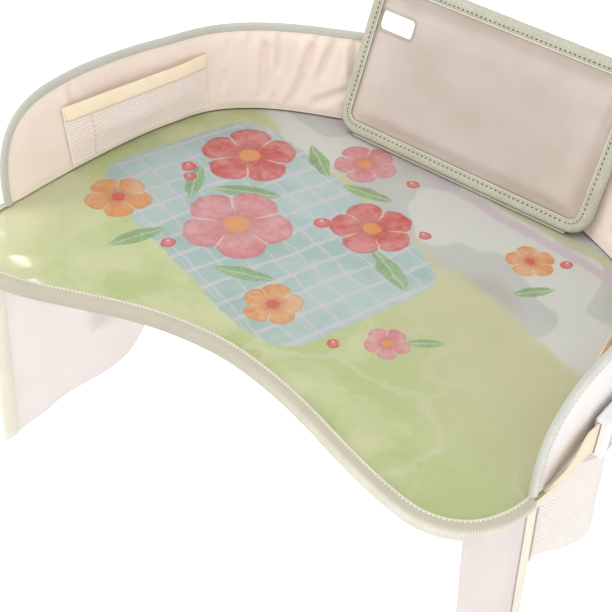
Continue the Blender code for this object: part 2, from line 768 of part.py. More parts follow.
def make_holder():
    """Phone holder on its hinge line along the back of the deck."""
    axis_height = WALL_FLOOR + HINGE_TAPE_THICKNESS + SEAM_GAP + holder_half_depth()
    axis_y = DECK_DEPTH / 2 - HOLDER_FROM_DECK_BACK
    pivot = add_pivot("holder_hinge", (0.0, axis_y, axis_height), -HOLDER_TILT)
    make_holder_back(pivot)
    make_holder_window(pivot)
    make_holder_binding(pivot)
    low = Vector((HOLDER_SIDE_SHIFT - HOLDER_WIDTH / 2 + HINGE_TAPE_END,
                  axis_y - HINGE_TAPE_WIDTH / 2))
    high = Vector((HOLDER_SIDE_SHIFT + HOLDER_WIDTH / 2 - HINGE_TAPE_END,
                   axis_y + HINGE_TAPE_WIDTH / 2))
    outline = rounded_rectangle(low, high, HINGE_TAPE_WIDTH / 4, 3)
    flat_solid("holder_hinge_tape", [outline], WALL_FLOOR, HINGE_TAPE_THICKNESS, "sage")


def wing_axis_height():
    return EDGE_FLOOR - SEAM_GAP - WING_TAPE_THICKNESS - SEAM_GAP - WING_THICKNESS / 2


def wing_fold(from_front, width, depth, drop, bound):
    """Soft folds of a hanging wing, flat along its bound edge and its top."""
    share = (from_front - bound) / (width - bound)
    wave = sin(2 * pi * WING_FOLDS / 2 * max(share, 0.0))
    ease = smooth_share(max(share, 0.0) * 4) * smooth_share(depth / drop)
    return WING_FOLD_DEPTH * wave * ease


def wing_depth(drop, up):
    """Depth below the hinge line, the panel's rounded top standing half its thickness above."""
    above = WING_THICKNESS / 2
    return (drop + above) * (1 - up) - above


def make_left_wing():
    """Left wing: one wide panel, bound at its front edge, with an outer net pocket."""
    pivot = add_pivot("left_wing_hinge", (-WING_FROM_MIDDLE, 0.0, wing_axis_height()))
    width, drop = LEFT_WING_WIDTH, LEFT_WING_DROP
    start = LEFT_WING_FRONT + WING_EDGE_THICKNESS + SEAM_GAP
    inner_width = width - (start - LEFT_WING_FRONT)

    def fold(from_front, depth):
        return -wing_fold(from_front, width, depth, drop, LEFT_EDGE_WIDTH + WING_CORNER / 2)

    def place(across, up):
        from_front = inner_width * across
        corner = max(0.0, from_front - (inner_width - WING_CORNER)) / WING_CORNER
        shorter = WING_CORNER * (1 - (1 - min(corner, 1.0) ** 2) ** 0.5) * 0.8
        depth = wing_depth(drop - shorter, up)
        return Vector((fold(from_front, depth), start + from_front, -depth))

    panel = sheet("wing_left_panel", 14, 7, place, WING_THICKNESS, "pale_pink", pivot)
    round_edges(panel, WING_ROUNDING, 2)
    make_wing_edge("wing_left_edge", pivot, LEFT_WING_FRONT, LEFT_EDGE_WIDTH, drop, 0.0, 1)
    rear = LEFT_WING_FRONT + width - LEFT_NET_FROM_REAR
    make_wing_net("wing_left_net", pivot, -1, rear - NET_WIDTH, 0.0, fold,
                  rear - NET_WIDTH - start)


def make_wing_edge(name, pivot, outer_edge, width, drop, swing, inward):
    """Cream binding folded over an upright edge of a wing."""
    half = WING_THICKNESS / 2 + SEAM_GAP
    full = half + WING_EDGE_THICKNESS
    section = (
        (width, -full), (0.0, -full), (0.0, full), (width, full), (width, half),
        (WING_EDGE_THICKNESS, half), (WING_EDGE_THICKNESS, -half), (width, -half),
    )
    rings = []
    for depth in spread(2 * full, drop + SEAM_GAP, 6):
        ring = []
        for along, out in section:
            ring.append(Vector((out, outer_edge + inward * along + swing * depth, -depth)))
        rings.append(ring)
    loft(name, rings, "cream", pivot)


def make_wing_net(name, pivot, side, front, swing, fold, fold_start):
    """Net pocket that bulges from a wing's outer face and is open at its top."""
    clear = WING_THICKNESS / 2 + SEAM_GAP + NET_THICKNESS / 2

    def place(across, up):
        depth = NET_DROP - (NET_DROP - NET_TOP) * up
        swell = NET_BULGE * sin(pi * across) ** 0.7 * smooth_share(up * 6)
        flat = fold(fold_start + NET_WIDTH * across, depth)
        return Vector((flat + side * (clear + swell), front + NET_WIDTH * across + swing * depth,
                       -depth))

    sheet(name, 12, 6, place, NET_THICKNESS, "pale_pink", pivot)


def make_right_wing():
    """Right wing: a narrow long panel, bound at its rear edge, and a shorter net pocket."""
    pivot = add_pivot("right_wing_hinge", (WING_FROM_MIDDLE, 0.0, wing_axis_height()))
    drop, swing = RIGHT_WING_DROP, RIGHT_WING_SWING_SHARE
    edge_out = WING_EDGE_THICKNESS + SEAM_GAP
    inner_width = RIGHT_WING_WIDTH - edge_out
    rear = RIGHT_WING_FRONT + RIGHT_WING_WIDTH

    def fold(from_front, depth):
        return wing_fold(inner_width - from_front, RIGHT_WING_WIDTH, depth, drop,
                         RIGHT_EDGE_WIDTH + WING_EDGE_THICKNESS)

    def place(across, up):
        depth = wing_depth(drop, up)
        from_front = inner_width * across
        return Vector((fold(from_front, depth), RIGHT_WING_FRONT + from_front + swing * depth,
                       -depth))

    panel = sheet("wing_right_panel", 12, 7, place, WING_THICKNESS, "pale_pink", pivot)
    round_edges(panel, WING_ROUNDING, 2)
    make_wing_edge("wing_right_edge", pivot, rear, RIGHT_EDGE_WIDTH, drop, swing, -1)

    def back_place(across, up):
        depth = (NET_DROP + SEAM_GAP) * (1 - up)
        return Vector((0.0, rear + SEAM_GAP + NET_WIDTH * across + swing * depth, -depth))

    sheet("wing_right_pocket_back", 4, 4, back_place, WING_THICKNESS, "pale_pink", pivot)
    make_wing_net("wing_right_net", pivot, 1, rear + SEAM_GAP + NET_THICKNESS, swing,
                  lambda place, depth: 0.0, 0.0)


def make_wing_tapes():
    """Tapes under the deck that the wings hang from."""
    spans = (("left", -1, LEFT_WING_FRONT + LEFT_EDGE_WIDTH + SEAM_GAP,
              LEFT_WING_FRONT + LEFT_WING_WIDTH),
             ("right", 1, RIGHT_WING_FRONT + WING_EDGE_THICKNESS,
              RIGHT_WING_FRONT + RIGHT_WING_WIDTH - RIGHT_EDGE_WIDTH))
    for side, sign, front, rear in spans:
        near = sign * (WING_FROM_MIDDLE + WING_THICKNESS / 2)
        far = near - sign * WING_TAPE_WIDTH
        low = Vector((min(near, far), front))
        high = Vector((max(near, far), rear))
        outline = rounded_rectangle(low, high, WING_TAPE_THICKNESS, 2)
        flat_solid(f"wing_tape_{side}", [outline], EDGE_FLOOR - SEAM_GAP - WING_TAPE_THICKNESS,
                   WING_TAPE_THICKNESS, "cream")


def buckle_y(seam):
    """Where the buckle's socket starts along the tray's right side."""
    start = wall_span(seam)[0]
    return seam.point(start + BUCKLE_FROM_WALL_END).y


def rim_out():
    return WALL_MARGIN + SEAM_GAP + BINDING_THICKNESS


def buckle_inner_x(seam):
    """Inner face of the buckle, just clear of the rim's tape."""
    start = wall_span(seam)[0]
    reach = BUCKLE_FROM_WALL_END + TAIL_LENGTH + SOCKET_LENGTH
    widest = max(seam.point(start + reach * share).x for share in (0.0, 0.25, 0.5, 0.75, 1.0))
    return widest + rim_out() + SEAM_GAP


def strap_x(seam):
    """Inner face of the straight webbing inside the buckle."""
    return buckle_inner_x(seam) + TAIL_BAR / 2 + SEAM_GAP


def strap_heights():
    foot = DECK_TOP + STRAP_ABOVE_DECK
    return foot, foot + STRAP_WIDTH


def strap_ring(spot, outward):
    """Upright webbing section standing on a flat point."""
    foot, crest = strap_heights()
    far = spot + outward * STRAP_THICKNESS
    return [Vector((spot.x, spot.y, foot)), Vector((far.x, far.y, foot)),
            Vector((far.x, far.y, crest)), Vector((spot.x, spot.y, crest))]


def strap_clearance(seam, distance):
    """How far out the webbing's inner face lies, clear of the leaning wall."""
    crest = strap_heights()[1] + 2 * STRAP_THICKNESS - WALL_FLOOR
    lean = wall_lean(seam, distance) * crest / WALL_HEIGHT
    return WALL_OUT + max(lean, 0.0) + SEAM_GAP


def plug_tail(seam):
    """Where the plug's tail starts and ends along the tray's side."""
    start = buckle_y(seam) + TAIL_LENGTH + SOCKET_LENGTH + PLUG_BLOCK_LENGTH + SEAM_GAP
    return start, start + TAIL_LENGTH


def make_straps(seam):
    """Short webbing to the socket, and the long webbing round the wall's outside."""
    start, end = wall_span(seam)
    first_y = buckle_y(seam)
    x = strap_x(seam)
    straight = Vector((1.0, 0.0))
    stop = first_y + TAIL_LENGTH - 2 * SEAM_GAP
    rings = []
    for share in spread(0.0, 1.0, 5):
        distance = start + STRAP_FROM_WALL_END + (BUCKLE_FROM_WALL_END - STRAP_FROM_WALL_END
                                                  - STRAP_BLEND / 4) * share
        outward = seam.outward(distance)
        beside = seam.point(distance) + outward * strap_clearance(seam, distance)
        pull = smooth_share(share * 1.2)
        spot = beside.lerp(Vector((x, beside.y)), pull)
        rings.append(strap_ring(spot, outward.lerp(straight, pull).normalized()))
    rings.append(strap_ring(Vector((x, stop)), straight))
    loft("strap_right", rings, "webbing")
    x -= STRAP_THICKNESS + SEAM_GAP
    run_start = plug_tail(seam)[1] + BUCKLE_TRAVEL + SEAM_GAP
    run_end = run_start + STRAP_LAP
    rings = [strap_ring(Vector((x, run_start)), straight),
             strap_ring(Vector((x, run_end)), straight)]
    leave = start
    while seam.point(leave).y < run_end:
        leave += STRAP_BLEND / 4
    stations = stations_between(seam, leave, end - STRAP_FROM_WALL_END)[1:]
    for distance in stations:
        outward = seam.outward(distance)
        beside = seam.point(distance) + outward * strap_clearance(seam, distance)
        back_in = smooth_share((distance - leave) / STRAP_BLEND)
        held_out = beside + straight * max(x - beside.x, 0.0)
        spot = held_out.lerp(beside, back_in)
        rings.append(strap_ring(spot, straight.lerp(outward, back_in).normalized()))
    loft("strap_long", rings, "webbing")


def make_plug_strap(seam, pivot):
    """Webbing end that moves with the plug and laps over the long webbing."""
    x = strap_x(seam)
    tail_start, tail_end = plug_tail(seam)
    last = tail_end + BUCKLE_TRAVEL + STRAP_LAP
    outward = Vector((1.0, 0.0))
    rings = [[point - pivot.location for point in strap_ring(Vector((x, y)), outward)]
             for y in (tail_start + SEAM_GAP, last)]
    loft("strap_plug", rings, "webbing", pivot)


def cut_tail(part, low, high, strap_inner):
    """Opens a strap slot through a buckle's tail, leaving an outer and an inner bar."""
    slot_low = low[2] + TAIL_RAIL
    slot_high = high[2] - TAIL_RAIL
    strap_outer = strap_inner + STRAP_THICKNESS + 2 * SEAM_GAP
    strap_inner = strap_inner - SEAM_GAP
    middle = (low[1] + high[1]) / 2
    cut_block(part, "strap_way", (strap_inner, low[1] - CUT_OVERRUN, slot_low),
              (strap_outer, high[1], slot_high))
    cut_block(part, "inner_gap", (low[0] - CUT_OVERRUN, low[1] + TAIL_BAR, slot_low),
              (strap_outer, high[1], slot_high))
    cut_block(part, "outer_gap", (strap_inner, middle - TAIL_BAR / 2, slot_low),
              (high[0] + CUT_OVERRUN, high[1] - TAIL_BAR / 2, slot_high))


def make_buckle(seam):
    """Side release buckle: a socket on the short strap and a plug that slides out of it."""
    y = buckle_y(seam)
    inner = buckle_inner_x(seam)
    outer = inner + BUCKLE_THICKNESS
    foot, crest = strap_heights()
    middle = (foot + crest) / 2
    low_z = middle - BUCKLE_HEIGHT / 2
    high_z = middle + BUCKLE_HEIGHT / 2
    mouth = y + TAIL_LENGTH + SOCKET_LENGTH
    strap_inner = strap_x(seam)

    socket = add_object("buckle_socket", add_block("socket", (inner, y, low_z),
                                                   (outer, mouth, high_z)), "white")
    round_edges(socket, BUCKLE_ROUNDING)
    cut_tail(socket, (inner, y, low_z), (outer, y + TAIL_LENGTH, high_z), strap_inner)
    cavity_low = (inner + BUCKLE_WALL, y + TAIL_LENGTH + BUCKLE_WALL, low_z + BUCKLE_WALL)
    cavity_high = (outer - BUCKLE_WALL, mouth + CUT_OVERRUN, high_z - BUCKLE_WALL)
    cut_block(socket, "cavity", cavity_low, cavity_high)
    window_y = mouth - TAIL_BAR - SOCKET_WINDOW_LENGTH
    cut_block(socket, "side_windows", (inner + 2 * BUCKLE_WALL, window_y, low_z - CUT_OVERRUN),
              (outer - 2 * BUCKLE_WALL, window_y + SOCKET_WINDOW_LENGTH, high_z + CUT_OVERRUN))

    plug_start = mouth + SEAM_GAP
    tail_start, plug_end = plug_tail(seam)
    pivot = add_pivot("buckle_slide", ((inner + outer) / 2, plug_start, middle))
    base = Vector(pivot.location)

    def local(corner):
        return Vector(corner) - base

    plug = add_object("buckle_plug", add_block("plug", (inner, plug_start, low_z),
                                               (outer, plug_end, high_z)), "white")
    round_edges(plug, BUCKLE_ROUNDING)
    cut_tail(plug, (inner, tail_start, low_z), (outer, plug_end, high_z), strap_inner)
    slot_low = low_z + TAIL_RAIL
    slot_high = high_z - TAIL_RAIL
    cut_block(plug, "strap_channel", (strap_inner - SEAM_GAP, tail_start, slot_low),
              (strap_inner + STRAP_THICKNESS + SEAM_GAP, plug_end + CUT_OVERRUN, slot_high))
    plug.parent = pivot
    plug.matrix_parent_inverse.translation = -base
    make_plug_strap(seam, pivot)

    prong_end = plug_start - SEAM_GAP
    prong_tip = prong_end - PRONG_LENGTH
    for label, edge in (("lower", cavity_low[2] + SEAM_GAP),
                        ("upper", cavity_high[2] - SEAM_GAP - PRONG_WIDTH)):
        low = local((cavity_low[0] + SEAM_GAP, prong_tip, edge))
        high = local((cavity_high[0] - SEAM_GAP, prong_end, edge + PRONG_WIDTH))
        prong = add_object(f"buckle_prong_{label}", add_block("prong", low, high), "white", pivot)
        round_edges(prong, BUCKLE_ROUNDING / 2)


def clear_scene():
    """Removes the scene's objects, and keeps the file that runs this script."""
    for leftover in list(bpy.data.objects):
        bpy.data.objects.remove(leftover)


def make_collection(name):
    collection = bpy.data.collections.new(name)
    bpy.context.scene.collection.children.link(collection)
    return collection


clear_scene()
PARTS = make_collection("car_seat_tray_table")
CUTTERS = make_collection("cutters")
SEAM = SeamLine()
make_deck_layers(SEAM)
make_front_binding(SEAM)
make_rim_binding(SEAM)
make_wall(SEAM)
make_wall_pockets(SEAM)
make_holder()
make_wing_tapes()
make_left_wing()
make_right_wing()
make_straps(SEAM)
make_buckle(SEAM)
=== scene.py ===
"""Looks of the car seat tray table: cloth, nets, tapes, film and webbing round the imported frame."""

from bisect import bisect_right
from math import atan2, cos, exp, pi, radians, sin

import bpy
from mathutils import Matrix, Vector, noise


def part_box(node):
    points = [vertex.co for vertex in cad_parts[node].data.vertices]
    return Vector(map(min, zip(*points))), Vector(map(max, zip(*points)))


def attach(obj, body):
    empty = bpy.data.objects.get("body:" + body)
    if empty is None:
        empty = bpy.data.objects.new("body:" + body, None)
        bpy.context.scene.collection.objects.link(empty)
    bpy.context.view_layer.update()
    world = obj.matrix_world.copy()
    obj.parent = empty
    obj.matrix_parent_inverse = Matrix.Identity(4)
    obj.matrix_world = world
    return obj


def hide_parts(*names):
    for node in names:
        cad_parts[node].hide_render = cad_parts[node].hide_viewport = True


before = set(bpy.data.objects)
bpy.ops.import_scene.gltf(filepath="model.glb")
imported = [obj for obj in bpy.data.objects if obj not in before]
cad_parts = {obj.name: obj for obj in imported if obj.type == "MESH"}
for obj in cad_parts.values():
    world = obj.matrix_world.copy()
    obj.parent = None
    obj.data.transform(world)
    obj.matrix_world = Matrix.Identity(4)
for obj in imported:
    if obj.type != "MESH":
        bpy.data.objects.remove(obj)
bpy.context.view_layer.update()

# Sizes repeated from the solids, in metres
SEAM_GAP = 0.0003
DECK_WIDTH, DECK_DEPTH = 0.365, 0.285
FRONT_MARGIN, WALL_MARGIN, MARGIN_BLEND = 0.0073, 0.0049, 0.030
OUTLINE_SHARES = (
    (0.000, -0.709), (0.175, -0.733), (0.340, -0.782), (0.521, -0.853), (0.668, -0.902),
    (0.800, -0.923), (0.899, -0.874), (0.959, -0.768), (0.986, -0.621), (0.994, -0.354),
    (0.992, -0.109), (0.978, 0.081), (0.953, 0.263), (0.910, 0.460), (0.827, 0.607),
    (0.718, 0.719), (0.575, 0.818), (0.384, 0.923), (0.192, 0.979), (0.000, 1.000),
    (-0.192, 0.979), (-0.384, 0.923), (-0.575, 0.818), (-0.718, 0.719), (-0.827, 0.607),
    (-0.910, 0.460), (-0.953, 0.263), (-0.978, 0.081), (-0.992, -0.130), (-1.000, -0.389),
    (-0.997, -0.677), (-0.972, -0.850), (-0.905, -0.958), (-0.800, -1.000), (-0.668, -0.965),
    (-0.521, -0.884), (-0.340, -0.786), (-0.175, -0.730),
)
OUTLINE_STEPS, CURVE_STEPS = 3, 9
EDGE_FLOOR, UNDERSIDE_TOP = 0.0022, 0.0032
PAD_FLOOR, PAD_TOP = 0.0050, 0.0068
PRINT_TOP, DECK_TOP, WALL_FLOOR = 0.0075, 0.0082, 0.0085
WALL_SPAN_SHARES = (0.1850, 0.8064)
WALL_HEIGHT, WALL_END_ROUNDING, END_POWER = 0.0556, 0.056, 3.0
WALL_COVER, WALL_BACK_IN, WALL_OUT = 0.0014, 0.0028, 0.0038
LEAN_PLACES = (0.0, 0.15, 0.28, 0.36, 0.58, 0.66, 0.73, 0.785, 0.83, 0.90, 1.0)
LEANS = (-0.0020, -0.0010, 0.0080, 0.0163, 0.0163, 0.0135, 0.0108, 0.0090, 0.0118, 0.0145, 0.0055)
CAP_DEPTH, CAP_THICKNESS, WALL_TAPER = 0.0026, 0.0008, 0.0009
TAPER_FROM, TAPER_RUN = 0.78, 0.18
POCKET_FROM_WALL_END, POCKET_LENGTH, POCKET_FLOOR = 0.053, 0.112, 0.0035
BAND_TOP, BAND_WIDTH, POCKET_BELLY, DIVIDER_SHARE = 0.0420, 0.0093, 0.0072, 0.17
HOLDER_WIDTH, HOLDER_HEIGHT, HOLDER_SHIFT, HOLDER_CORNER = 0.1895, 0.108, 0.0048, 0.015
HOLDER_TILT, HOLDER_HALF = radians(20.5), 0.00315
HOLDER_AXIS = Vector((0.0, 0.1130, 0.01295))
HOLDER_TAPE, HOLDER_BACK, WINDOW, HOLDER_BINDING = 0.0010, 0.0028, 0.0006, 0.0075
HOLDER_INSET = HOLDER_TAPE + SEAM_GAP
BACK_REAR = HOLDER_HALF - HOLDER_INSET
BACK_FRONT = BACK_REAR - HOLDER_BACK
SLEEVE_DEPTH, SLEEVE_RAMP = 0.0085, 0.013
HOLE_WIDTH, HOLE_HEIGHT, HOLE_CORNER = 0.026, 0.013, 0.003
HOLE_FROM_TOP, HOLE_FROM_SIDE = 0.0295, 0.0085
WING_X, WING_AXIS_Z = 0.165, -0.0006
WING_CLOTH, WING_FOLD_DEPTH, WING_CORNER = 0.0016, 0.0022, 0.035
LEFT_FRONT, LEFT_WIDTH, LEFT_DROP, LEFT_EDGE = -0.1335, 0.143, 0.153, 0.011
RIGHT_FRONT, RIGHT_WIDTH, RIGHT_DROP, RIGHT_EDGE = -0.1225, 0.0785, 0.175, 0.0105
RIGHT_SWING = 0.130
NET_WIDTH, NET_TOP, NET_DROP, NET_BULGE = 0.058, 0.013, 0.111, 0.019
STRAP_WIDTH, STRAP_THICKNESS = 0.020, 0.0014

# Sizes of this script alone, in metres
RIB, RIB_DEPTH, FINE_RIB_DEPTH = 0.0011, 0.00007, 0.00006
TAPE_SKIN, THREAD_LIFT = 0.0003, 0.00003
UP, STRAIGHT = Vector((0.0, 0.0, 1.0)), Vector((1.0, 0.0, 0.0))
LOOKS = {}


# Measures and curves

def clamp(value, low=0.0, high=1.0):
    return max(low, min(high, value))


def eased(share):
    """Eases a share from 0 to 1."""
    held = clamp(share)
    return held * held * (3.0 - 2.0 * held)


def drift(x, y, z):
    """Smooth noise from about -1 to 1, the same in every run."""
    return noise.noise(Vector((x, y, z)))


def spread(start, end, apart):
    """Even places from start to end, about the given distance apart."""
    count = max(2, round(abs(end - start) / apart) + 1)
    return [start + (end - start) * k / (count - 1) for k in range(count)]


def arc(centre, radius, start, turn, steps):
    """Pairs on an arc, from a starting angle through a turn."""
    angles = [start + turn * k / steps for k in range(steps + 1)]
    return [(centre[0] + radius * cos(angle), centre[1] + radius * sin(angle)) for angle in angles]


def mirrored(pairs):
    """The other face of a section, in the order that goes on from the first."""
    return [(along, -out) for along, out in reversed(pairs)]


def marks_along(points, closed=False):
    """Distance of each point along a run, and of the way back to the first if it is closed."""
    marks = [0.0]
    for start, end in zip(points, points[1:] + (points[:1] if closed else [])):
        marks.append(marks[-1] + (end - start).length)
    return marks


def point_along(points, marks, mark):
    """The point at a distance along a run."""
    index = min(bisect_right(marks, mark) - 1, len(marks) - 2)
    share = (mark - marks[index]) / max(marks[index + 1] - marks[index], 1e-9)
    return points[index].lerp(points[(index + 1) % len(points)], share)


def lean_at(share):
    """Lean of the wall's top at a share of its length, on one smooth curve through the table."""
    index = min(max(bisect_right(LEAN_PLACES, share) - 1, 0), len(LEAN_PLACES) - 2)

    def slope(k):
        low, high = max(k - 1, 0), min(k + 1, len(LEANS) - 1)
        return (LEANS[high] - LEANS[low]) / (LEAN_PLACES[high] - LEAN_PLACES[low])

    width = LEAN_PLACES[index + 1] - LEAN_PLACES[index]
    t = (share - LEAN_PLACES[index]) / width
    bend = t * (1 - t) * width * ((1 - t) * slope(index) - t * slope(index + 1))
    return LEANS[index] + (LEANS[index + 1] - LEANS[index]) * eased(t) + bend


class SeamLine:
    """The closed seam line round the deck, read by distance from the belly cut-out's middle."""

    def __init__(self):
        corners = [Vector((x * DECK_WIDTH / 2, y * DECK_DEPTH / 2)) for x, y in OUTLINE_SHARES]
        self.points = []
        for index in range(len(corners)):
            a, b, c, d = (corners[(index + k) % len(corners)] for k in (-1, 0, 1, 2))
            for step in range(CURVE_STEPS):
                t = step / CURVE_STEPS
                self.points.append(0.5 * (2 * b + (c - a) * t + (2 * a - 5 * b + 4 * c - d) * t ** 2
                                          + (3 * b - a - 3 * c + d) * t ** 3))
        self.marks = marks_along(self.points, closed=True)
        self.length = self.marks[-1]
        self.reach = self.length / len(corners) / OUTLINE_STEPS

    def point(self, distance):
        return point_along(self.points, self.marks, distance % self.length)

    def outward(self, distance):
        along = self.point(distance + self.reach) - self.point(distance - self.reach)
        return Vector((along.y, -along.x)).normalized()

    def place(self, distance, out, height):
        spot = self.point(distance) + self.outward(distance) * out
        return Vector((spot.x, spot.y, height))


SEAM = SeamLine()
WALL_START, WALL_END = (share * SEAM.length for share in WALL_SPAN_SHARES)


def margin_at(distance):
    """Width of the deck outside the seam line."""
    distance %= SEAM.length
    away = max(WALL_START - distance, distance - WALL_END, 0.0)
    return WALL_MARGIN + (FRONT_MARGIN - WALL_MARGIN) * eased(away / MARGIN_BLEND)


def wall_share(distance):
    """Share of the wall's length, from 0 to 1."""
    return (distance - WALL_START) / (WALL_END - WALL_START)


def from_wall_end(distance):
    """Distance from the nearer end of the wall."""
    return min(distance - WALL_START, WALL_END - distance)


def end_share(distance):
    """0 along the wall's level top and 1 at its ends, which are rounded down."""
    return 1.0 - clamp(from_wall_end(distance) / WALL_END_ROUNDING)


def wall_place(distance, out, height):
    """A point out from the wall's leaning inner face, at a height above the deck."""
    held = clamp(distance, WALL_START, WALL_END)
    outward = SEAM.outward(held)
    spot = SEAM.point(held) + outward * (out + lean_at(wall_share(held)) * height / WALL_HEIGHT)
    spot = spot + Vector((-outward.y, outward.x)) * (distance - held)
    return Vector((spot.x, spot.y, WALL_FLOOR + height))


def wall_top(distance):
    """Height of the wall's rounded top edge."""
    return WALL_HEIGHT * (1.0 - end_share(distance) ** END_POWER) ** (1.0 / END_POWER)


def wall_taper(distance, height):
    """How much each face of the wall draws in where it is sewn into the top binding."""
    rise = max(0.0, height / WALL_HEIGHT)
    closeness = (end_share(distance) ** END_POWER + rise ** END_POWER) ** (1.0 / END_POWER)
    return WALL_TAPER * eased((closeness - TAPER_FROM) / TAPER_RUN)


# Materials

class Field:
    """A number in a material's node tree that can be reckoned with."""

    def __init__(self, look, socket):
        self.look, self.socket = look, socket

    def reckon(self, operation, other=0.0):
        return self.look.math(operation, self, other)

    def __add__(self, other):
        return self.reckon("ADD", other)

    def __sub__(self, other):
        return self.reckon("SUBTRACT", other)

    def __mul__(self, other):
        return self.reckon("MULTIPLY", other)

    def __truediv__(self, other):
        return self.reckon("DIVIDE", other)

    def __pow__(self, other):
        return self.reckon("POWER", other)

    def sine(self):
        return self.reckon("SINE")

    def cosine(self):
        return self.reckon("COSINE")

    def size(self):
        return self.reckon("ABSOLUTE")

    def most(self, other):
        return self.reckon("MAXIMUM", other)

    def wave(self, pitch):
        """A sine that repeats at a pitch, from -1 to 1."""
        return (self * (2 * pi / pitch)).sine()

    def ribs(self, pitch):
        """The same from 0 to 1."""
        return self.wave(pitch) * 0.5 + 0.5

    def smooth(self, low, high):
        """0 below low and 1 above high, eased between; the two may be given the other way round."""
        node = self.look.add("ShaderNodeMapRange", interpolation_type="SMOOTHSTEP")
        flip = low > high
        settings = (self, min(low, high), max(low, high), float(flip), float(not flip))
        for name, value in zip(("Value", "From Min", "From Max", "To Min", "To Max"), settings):
            self.look.feed(node.inputs[name], value)
        return Field(self.look, node.outputs["Result"])


def linear(colour, share=1.0):
    """A share of a colour written 0 to 255 as in a picture, in the linear numbers that nodes take."""
    parts = [part * share / 255 for part in colour]
    return tuple(p / 12.92 if p <= 0.04045 else ((p + 0.055) / 1.055) ** 2.4 for p in parts) + (1.0,)


class Look:
    """A procedural material."""

    def __init__(self, name, roughness=0.8):
        self.material = bpy.data.materials.new(name)
        self.material.use_nodes = True
        self.tree = self.material.node_tree
        self.shader = self.tree.nodes["Principled BSDF"]
        self.output = self.tree.nodes["Material Output"]
        self.shader.inputs["Roughness"].default_value = roughness
        self.relief = None

    def add(self, kind, **settings):
        node = self.tree.nodes.new(kind)
        for key, value in settings.items():
            setattr(node, key, value)
        return node

    def feed(self, socket, value):
        if isinstance(value, Field):
            value = value.socket
        if isinstance(value, bpy.types.NodeSocket):
            self.tree.links.new(value, socket)
        else:
            socket.default_value = value

    def math(self, operation, first, second):
        node = self.add("ShaderNodeMath", operation=operation)
        self.feed(node.inputs[0], first)
        self.feed(node.inputs[1], second)
        return Field(self, node.outputs[0])

    def ray(self, kind):
        """1 for rays of a kind."""
        return Field(self, self.add("ShaderNodeLightPath").outputs[kind])

    def axes(self, source="Object"):
        """The three coordinates of a point: in the frame, in metres, or along a piece's own cloth."""
        parts = self.add("ShaderNodeSeparateXYZ")
        self.feed(parts.inputs[0], self.add("ShaderNodeTexCoord").outputs[source])
        return [Field(self, parts.outputs[k]) for k in range(3)]

    def noise(self, scale, detail=2.0, roughness=0.5):
        node = self.add("ShaderNodeTexNoise")
        self.feed(node.inputs["Vector"], self.add("ShaderNodeTexCoord").outputs["Object"])
        for name, value in (("Scale", scale), ("Detail", detail), ("Roughness", roughness)):
            node.inputs[name].default_value = value
        return Field(self, node.outputs["Fac"])

    def mix(self, share, first, second):
        """Blends two colours by a share."""
        node = self.add("ShaderNodeMix", data_type="RGBA")
        for place, value in ((0, share), (6, first), (7, second)):
            self.feed(node.inputs[place], value)
        return node.outputs[2]

    def two_tone(self, scale, detail, span, colour, shade):
        """Drifts softly from a colour to its shade."""
        return self.mix(self.noise(scale, detail).smooth(*span), linear(colour), linear(shade))

    def colour(self, value):
        self.feed(self.shader.inputs["Base Color"], value)

    def bump_node(self, height, distance, strength):
        node = self.add("ShaderNodeBump")
        node.inputs["Strength"].default_value = strength
        node.inputs["Distance"].default_value = distance
        self.feed(node.inputs["Height"], height)
        return node

    def bump(self, height, distance, strength):
        """Adds relief of the given height in metres."""
        node = self.bump_node(height, distance, strength)
        if self.relief is not None:
            self.feed(node.inputs["Normal"], self.relief)
        self.relief = node.outputs["Normal"]
        self.feed(self.shader.inputs["Normal"], self.relief)

    def sheen(self, weight):
        self.shader.inputs["Sheen Weight"].default_value = weight
        self.shader.inputs["Sheen Roughness"].default_value = 0.5

    def blend(self, share, first, second):
        """Shows two shaders, mixed by a share, or added up where the share is None."""
        both = self.add("ShaderNodeAddShader" if share is None else "ShaderNodeMixShader")
        if share is not None:
            self.feed(both.inputs[0], share)
        self.feed(both.inputs[-2], first.outputs[0])
        self.feed(both.inputs[-1], second.outputs[0])
        self.feed(self.output.inputs["Surface"], both.outputs[0])


def weave(look, pitch, source="UV"):
    """Over and under threads of a plain weave, from 0 to 1."""
    x, y = look.axes(source)[:2]
    return x.wave(pitch) * y.wave(pitch) * 0.5 + 0.5


def grain_look(name, colour, shade):
    """Pebbled tape: small soft cells, with painted shade darkening the furrows between them."""
    look = Look(name, 0.62)
    cells = look.add("ShaderNodeTexVoronoi", feature="DISTANCE_TO_EDGE")
    look.feed(cells.inputs["Vector"], look.add("ShaderNodeTexCoord").outputs["Object"])
    cells.inputs["Scale"].default_value = 620.0
    pebble = Field(look, cells.outputs["Distance"]).smooth(0.02, 0.34)
    tone = look.two_tone(55.0, 4.0, (0.32, 0.68), colour, shade)
    # Painted shade in the furrows.
    look.colour(look.mix((pebble * -0.35) + 0.35, tone, linear(shade, 0.74)))
    look.bump(pebble, 0.00016, 0.8)
    look.bump(look.noise(210.0, 3.0), 0.0002, 0.4)
    look.sheen(0.08)
    return look.material


